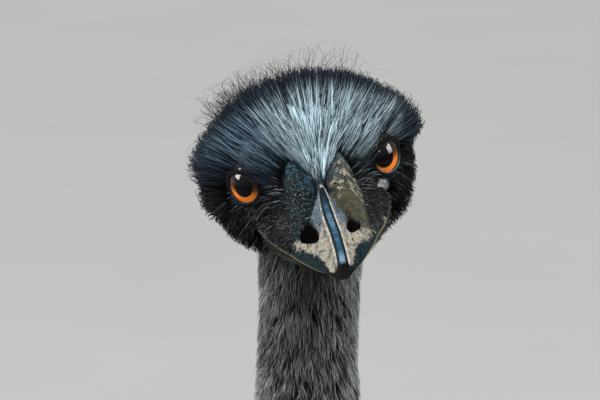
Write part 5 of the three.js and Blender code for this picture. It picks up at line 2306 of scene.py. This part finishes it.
class Plates:
    """Small raised scales on a form, gathered into one mesh."""

    ACROSS, ALONG = 5, 4

    def __init__(self, name: str) -> None:
        """Starts with no scales."""
        self.name = name
        self.places: list[Array] = []
        self.faces: list[Array] = []
        self.count = 0

    @staticmethod
    @cache
    def faces_of_one() -> Array:
        """The faces of one scale: its top and underside, then its rim.

        Returns:
            Rows of the numbers of four corners.
        """
        grid = np.arange(Plates.ACROSS * Plates.ALONG).reshape(Plates.ALONG, Plates.ACROSS)
        faces = []
        for j in range(Plates.ALONG - 1):
            for i in range(Plates.ACROSS - 1):
                ring = [grid[j, i], grid[j, i + 1], grid[j + 1, i + 1], grid[j + 1, i]]
                faces += [ring, [corner + grid.size for corner in reversed(ring)]]
        rim = [*grid[0, :-1], *grid[:-1, -1], *grid[-1, :0:-1], *grid[:0:-1, 0]]
        faces += [[b, a, a + grid.size, b + grid.size] for a, b in zip(rim, rim[1:] + rim[:1])]
        return np.array(faces)

    def add(
        self, form: Form, t: float, long: float, turn: float, wide: float, high: float,
        draw: np.random.Generator, bend: float = 0.0,
    ) -> None:
        """Adds one scale.

        Args:
            form: The form that it lies on.
            t: Its place along the form.
            long: Its length, as a share of the form's.
            turn: Its place round the form, in degrees.
            wide: Its width, in degrees.
            high: How far it stands up, in millimetres.
            draw: The random draws that vary it.
            bend: How far its middle lies ahead, as a share of the form's length.
        """
        u, v = np.meshgrid(np.linspace(-1, 1, self.ACROSS), np.linspace(-1, 1, self.ALONG))
        u, v = u.ravel(), v.ravel()
        wide = wide * (1 + draw.uniform(-0.08, 0.08))
        round_off = 1 - 0.28 * np.abs(v) ** 3
        share = t + long * (0.5 * v * (1 - 0.2 * np.abs(u) ** 3)) + bend * (1 - u**2)
        angle = np.radians(turn + draw.uniform(-1.5, 1.5) + 0.5 * wide * u * round_off)
        inner = (1 - np.abs(u) ** 4) * (1 - np.abs(v) ** 6)
        up = high * (0.35 + 0.65 * inner) * (0.75 + 0.25 * v)
        border = (np.abs(u) > 0.99) | (np.abs(v) > 0.99)
        top = form.point(share, angle, np.where(border, up * 0.5, up) - 0.6)
        bottom = form.point(share, angle, np.full(len(u), -1.6))
        self.places.append(moved(np.vstack([top, bottom]), STANCE.to_world(form.frame)))
        self.faces.append(self.faces_of_one() + self.count)
        self.count += 2 * len(u)

    def piece(self) -> bpy.types.Object:
        """Makes the mesh.

        Returns:
            The new object.
        """
        mesh = bpy.data.meshes.new(self.name)
        places = np.concatenate(self.places)
        places[:, 2] = np.maximum(places[:, 2], 0.0004)
        mesh.from_pydata(places.tolist(), [], np.concatenate(self.faces).tolist())
        mesh.update()
        piece = placed(self.name, mesh)
        finish_mesh(piece)
        return piece


@dataclass(frozen=True)
class ScaleFinish:
    """Grey-brown scaly skin, dusty in patches."""

    name: str
    light: Colour
    dark: Colour
    dust: Colour = (0.3, 0.26, 0.2)

    def material(self) -> bpy.types.Material:
        """Builds the material.

        Returns:
            The material.
        """
        shader = Paint(self.name)
        cloud = shader.step(shader.noise(60.0, 4.0), 0.38, 0.62)
        grime = shader.step(shader.noise(340.0, 4.0), 0.5, 0.68)
        base = shader.mix(shader.times(grime, 0.3), shader.mix(cloud, self.dark, self.light), self.dust)
        rough = shader.sum("MULTIPLY_ADD", cloud, 0.2, 0.5)
        return shader.done(Base_Color=base, Roughness=rough, Normal=shader.creased(300.0, 0.0006, 0.8))


@dataclass(frozen=True)
class ClawFinish:
    """Dark horn, scuffed at the tips."""

    dark: Colour = (0.02, 0.018, 0.017)
    worn: Colour = (0.13, 0.11, 0.085)

    def material(self) -> bpy.types.Material:
        """Builds the material.

        Returns:
            The material.
        """
        shader = Paint("claw_horn")
        grain = shader.noise(260.0, 5.0)
        wear = shader.times(shader.value("tip"), shader.step(grain, 0.4, 0.66))
        rough = shader.sum("MULTIPLY_ADD", grain, 0.35, 0.25)
        colour = shader.mix(wear, self.dark, self.worn)
        return shader.done(Base_Color=colour, Roughness=rough, Normal=shader.bump(grain, 0.0004, 0.5))


# Studio


class Light(Enum):
    """The studio's lamps: place in metres, width and height in metres, and power in watts."""

    LEFT = ((3.0, -0.2, 2.9), (1.6, 1.6), 82.0)
    RIGHT = ((-3.0, -0.2, 2.9), (1.6, 1.6), 98.0)
    FRONT = ((0.8, -4.2, 4.6), (2.2, 1.6), 104.0)


class Studio:
    """The camera, the floor and the light."""

    ELEVATION = 11.0
    DISTANCE = 2.0
    LENS = 224.0
    SENSOR = 36.0
    ACROSS, UP = 0.00771, 0.01645
    FLOOR_SIZE = 60.0
    SKY, SKY_ANGLE = 2.0, 50.0
    SURROUND, SURROUND_LIGHT = (0.8, 0.84, 0.88, 1.0), 0.3
    AIM = Vector((0.0, -0.3, 1.4))

    def camera(self) -> None:
        """Sets the camera as the photograph's stood, a little above the head and straight ahead."""
        tilt = math.radians(self.ELEVATION)
        back = Vector((0.0, -math.cos(tilt), math.sin(tilt)))
        rise = Vector((0.0, math.sin(tilt), math.cos(tilt)))
        eyes = Vector(moved(np.zeros((1, 3)), STANCE.to_world(HEAD))[0])
        place = eyes + back * self.DISTANCE - Vector((self.ACROSS, 0, 0)) - rise * self.UP
        data = bpy.data.cameras.new("camera")
        data.lens = self.LENS
        data.sensor_width = self.SENSOR
        data.clip_end = 100.0
        camera = placed("camera", data)
        camera.location = place
        camera.rotation_euler = (math.radians(90.0 - self.ELEVATION), 0.0, 0.0)
        bpy.context.scene.camera = camera

    def lights(self) -> None:
        """Hangs the lamps and sets a pale even surround."""
        for lamp in Light:
            place, size, power = lamp.value
            data = bpy.data.lights.new(f"lamp_{lamp.name.lower()}", "AREA")
            data.shape = "RECTANGLE"
            data.size, data.size_y = size
            data.energy = power
            light = placed(data.name, data)
            light.location = place
            light.rotation_euler = (self.AIM - Vector(place)).to_track_quat("-Z", "Y").to_euler()
        sun = bpy.data.lights.new("soft_sky", "SUN")
        sun.energy, sun.angle = self.SKY, math.radians(self.SKY_ANGLE)
        placed("soft_sky", sun).rotation_euler = (math.radians(-8.0), math.radians(-10.0), 0.0)
        world = bpy.data.worlds.new("surround")
        world.use_nodes = True
        colour, light = world.node_tree.nodes["Background"].inputs[:2]
        colour.default_value, light.default_value = self.SURROUND, self.SURROUND_LIGHT
        bpy.context.scene.world = world

    def floor(self) -> None:
        """Lays a plain pale floor."""
        deselect()
        bpy.ops.mesh.primitive_plane_add(size=self.FLOOR_SIZE)
        floor = added("floor")
        shader = Paint("pale_floor")
        colour = shader.mix(shader.noise(1.6, 2.0), (0.56, 0.55, 0.53), (0.6, 0.59, 0.57))
        floor.data.materials.append(shader.done(Base_Color=colour, Roughness=0.9))


# the crown's pale blue-white is partly the feathers' own colour and partly a painted sky sheen
CROWN = PlumageFinish(
    "crown_plumage", (0.005, 0.007, 0.01), (0.006, 0.014, 0.026), (0.004, 0.004, 0.005), (0.7, 0.91, 1.0), 0.82, 0.5,
    40.0, 0.12,
)
# painted shade: a darker, bluer copy of the crown's finish for the bird's right side
CROWN_SHADED = PlumageFinish(
    "crown_shaded_plumage", (0.004, 0.006, 0.01), (0.005, 0.013, 0.028), (0.004, 0.004, 0.005), (0.46, 0.7, 0.9), 0.82, 0.5,
    40.0, 0.2,
)
BROW = PlumageFinish(
    "brow_plumage", (0.003, 0.004, 0.005), (0.006, 0.009, 0.014), (0.003, 0.003, 0.004), (0.07, 0.11, 0.16), 0.7, 0.55
)
WISP = PlumageFinish(
    "wisp_plumage", (0.01, 0.01, 0.012), (0.02, 0.02, 0.022), (0.012, 0.011, 0.01), (0.1, 0.1, 0.1), 0.8, 0.55
)
FACE = PlumageFinish(
    "face_bristle", (0.001, 0.001, 0.0015), (0.002, 0.003, 0.004), (0.005, 0.006, 0.008), (0.32, 0.35, 0.39), 0.78, 0.5,
    40.0, 0.35, 0.03,
)
THROAT = PlumageFinish(
    "throat_plumage", (0.01, 0.01, 0.011), (0.04, 0.04, 0.042), (0.07, 0.068, 0.062), (0.12, 0.12, 0.12), 0.6, 0.7
)
NECK = PlumageFinish(
    "neck_plumage", (0.012, 0.012, 0.012), (0.03, 0.031, 0.03), (0.1, 0.1, 0.09), (0.36, 0.39, 0.37), 0.75, 0.75
)
RUFF = PlumageFinish(
    "ruff_plumage", (0.03, 0.026, 0.022), (0.05, 0.042, 0.035), (0.012, 0.011, 0.01), (0.24, 0.235, 0.21), 0.72, 0.7
)
BODY = PlumageFinish(
    "body_plumage", (0.1, 0.082, 0.064), (0.125, 0.096, 0.072), (0.022, 0.018, 0.015), (0.2, 0.16, 0.12), 0.7, 0.7,
    9.0, 0.4,
)


def main() -> None:
    """Builds and dresses the bird, and sets the studio."""
    logging.basicConfig(level=logging.INFO, format="%(message)s")
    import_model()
    bpy.context.scene.view_settings.view_transform = "Standard"
    studio = Studio()
    studio.camera()
    studio.lights()
    studio.floor()

    forms, bill_form = EmuForms(), BillForm()
    flesh = ["head", "neck_upper", "neck_middle", "neck_lower", "torso", "tail"]
    flesh += [f"{part}_{word}" for part in ("wing", "thigh") for _, word in SIDES]
    dress(Skin(forms, bill_form).build(), SkinFinish().material(), flesh)

    bill, horn = Bill(forms, bill_form), BillFinish()
    dress(bill.upper(), horn.upper(), ["bill_upper"])
    dress(bill.lower(), horn.lower(), ["bill_lower"])

    wet, lid = EyeFinish().material(), LidFinish().material()
    for side, word in SIDES:
        eye = Eye(side, word)
        dress(eye.ball(), wet, [f"eye_{word}"])
        dress(eye.lids(), lid)

    hide = ScaleFinish("leg_hide", (0.12, 0.105, 0.085), (0.06, 0.052, 0.044)).material()
    scute = ScaleFinish("leg_scutes", (0.22, 0.195, 0.16), (0.12, 0.105, 0.085)).material()
    claw = ClawFinish().material()
    for side, word in SIDES:
        leg = Leg(forms.shanks[word], side, word)
        dress(leg.skin(), hide, [f"shank_{word}", *(f"toe_{toe.name}_{word}" for toe in TOES)])
        dress(leg.scales(), scute)
        dress(leg.claws(), claw, [f"claw_{toe.name}_{word}" for toe in TOES])

    head_coat, body_coat = HeadCoat(forms, bill_form), BodyCoat(forms)
    crown, painted_shade, face, body = (finish.material() for finish in (CROWN, CROWN_SHADED, FACE, BODY))
    # the crown's right piece takes the copy with painted shade
    coats = [(coat, painted_shade if coat.name == "crown_right" else crown) for coat in head_coat.crown()]
    coats += [(head_coat.brows(), BROW.material()), (head_coat.wisps(), WISP.material())]
    coats += [(coat, face) for coat in head_coat.face()] + [(head_coat.throat(), THROAT.material())]
    for coat, material in coats:
        dress(coat.piece(), material)
    coats = [(coat, finish.material()) for coat, finish in zip(body_coat.neck(), (NECK, RUFF))]
    coats += [(coat, body) for coat in (*body_coat.torso(), body_coat.tail(), body_coat.wings(), body_coat.thighs())]
    for coat, material in coats:
        dress(coat.piece(), material)


if __name__ == "__main__":
    main()
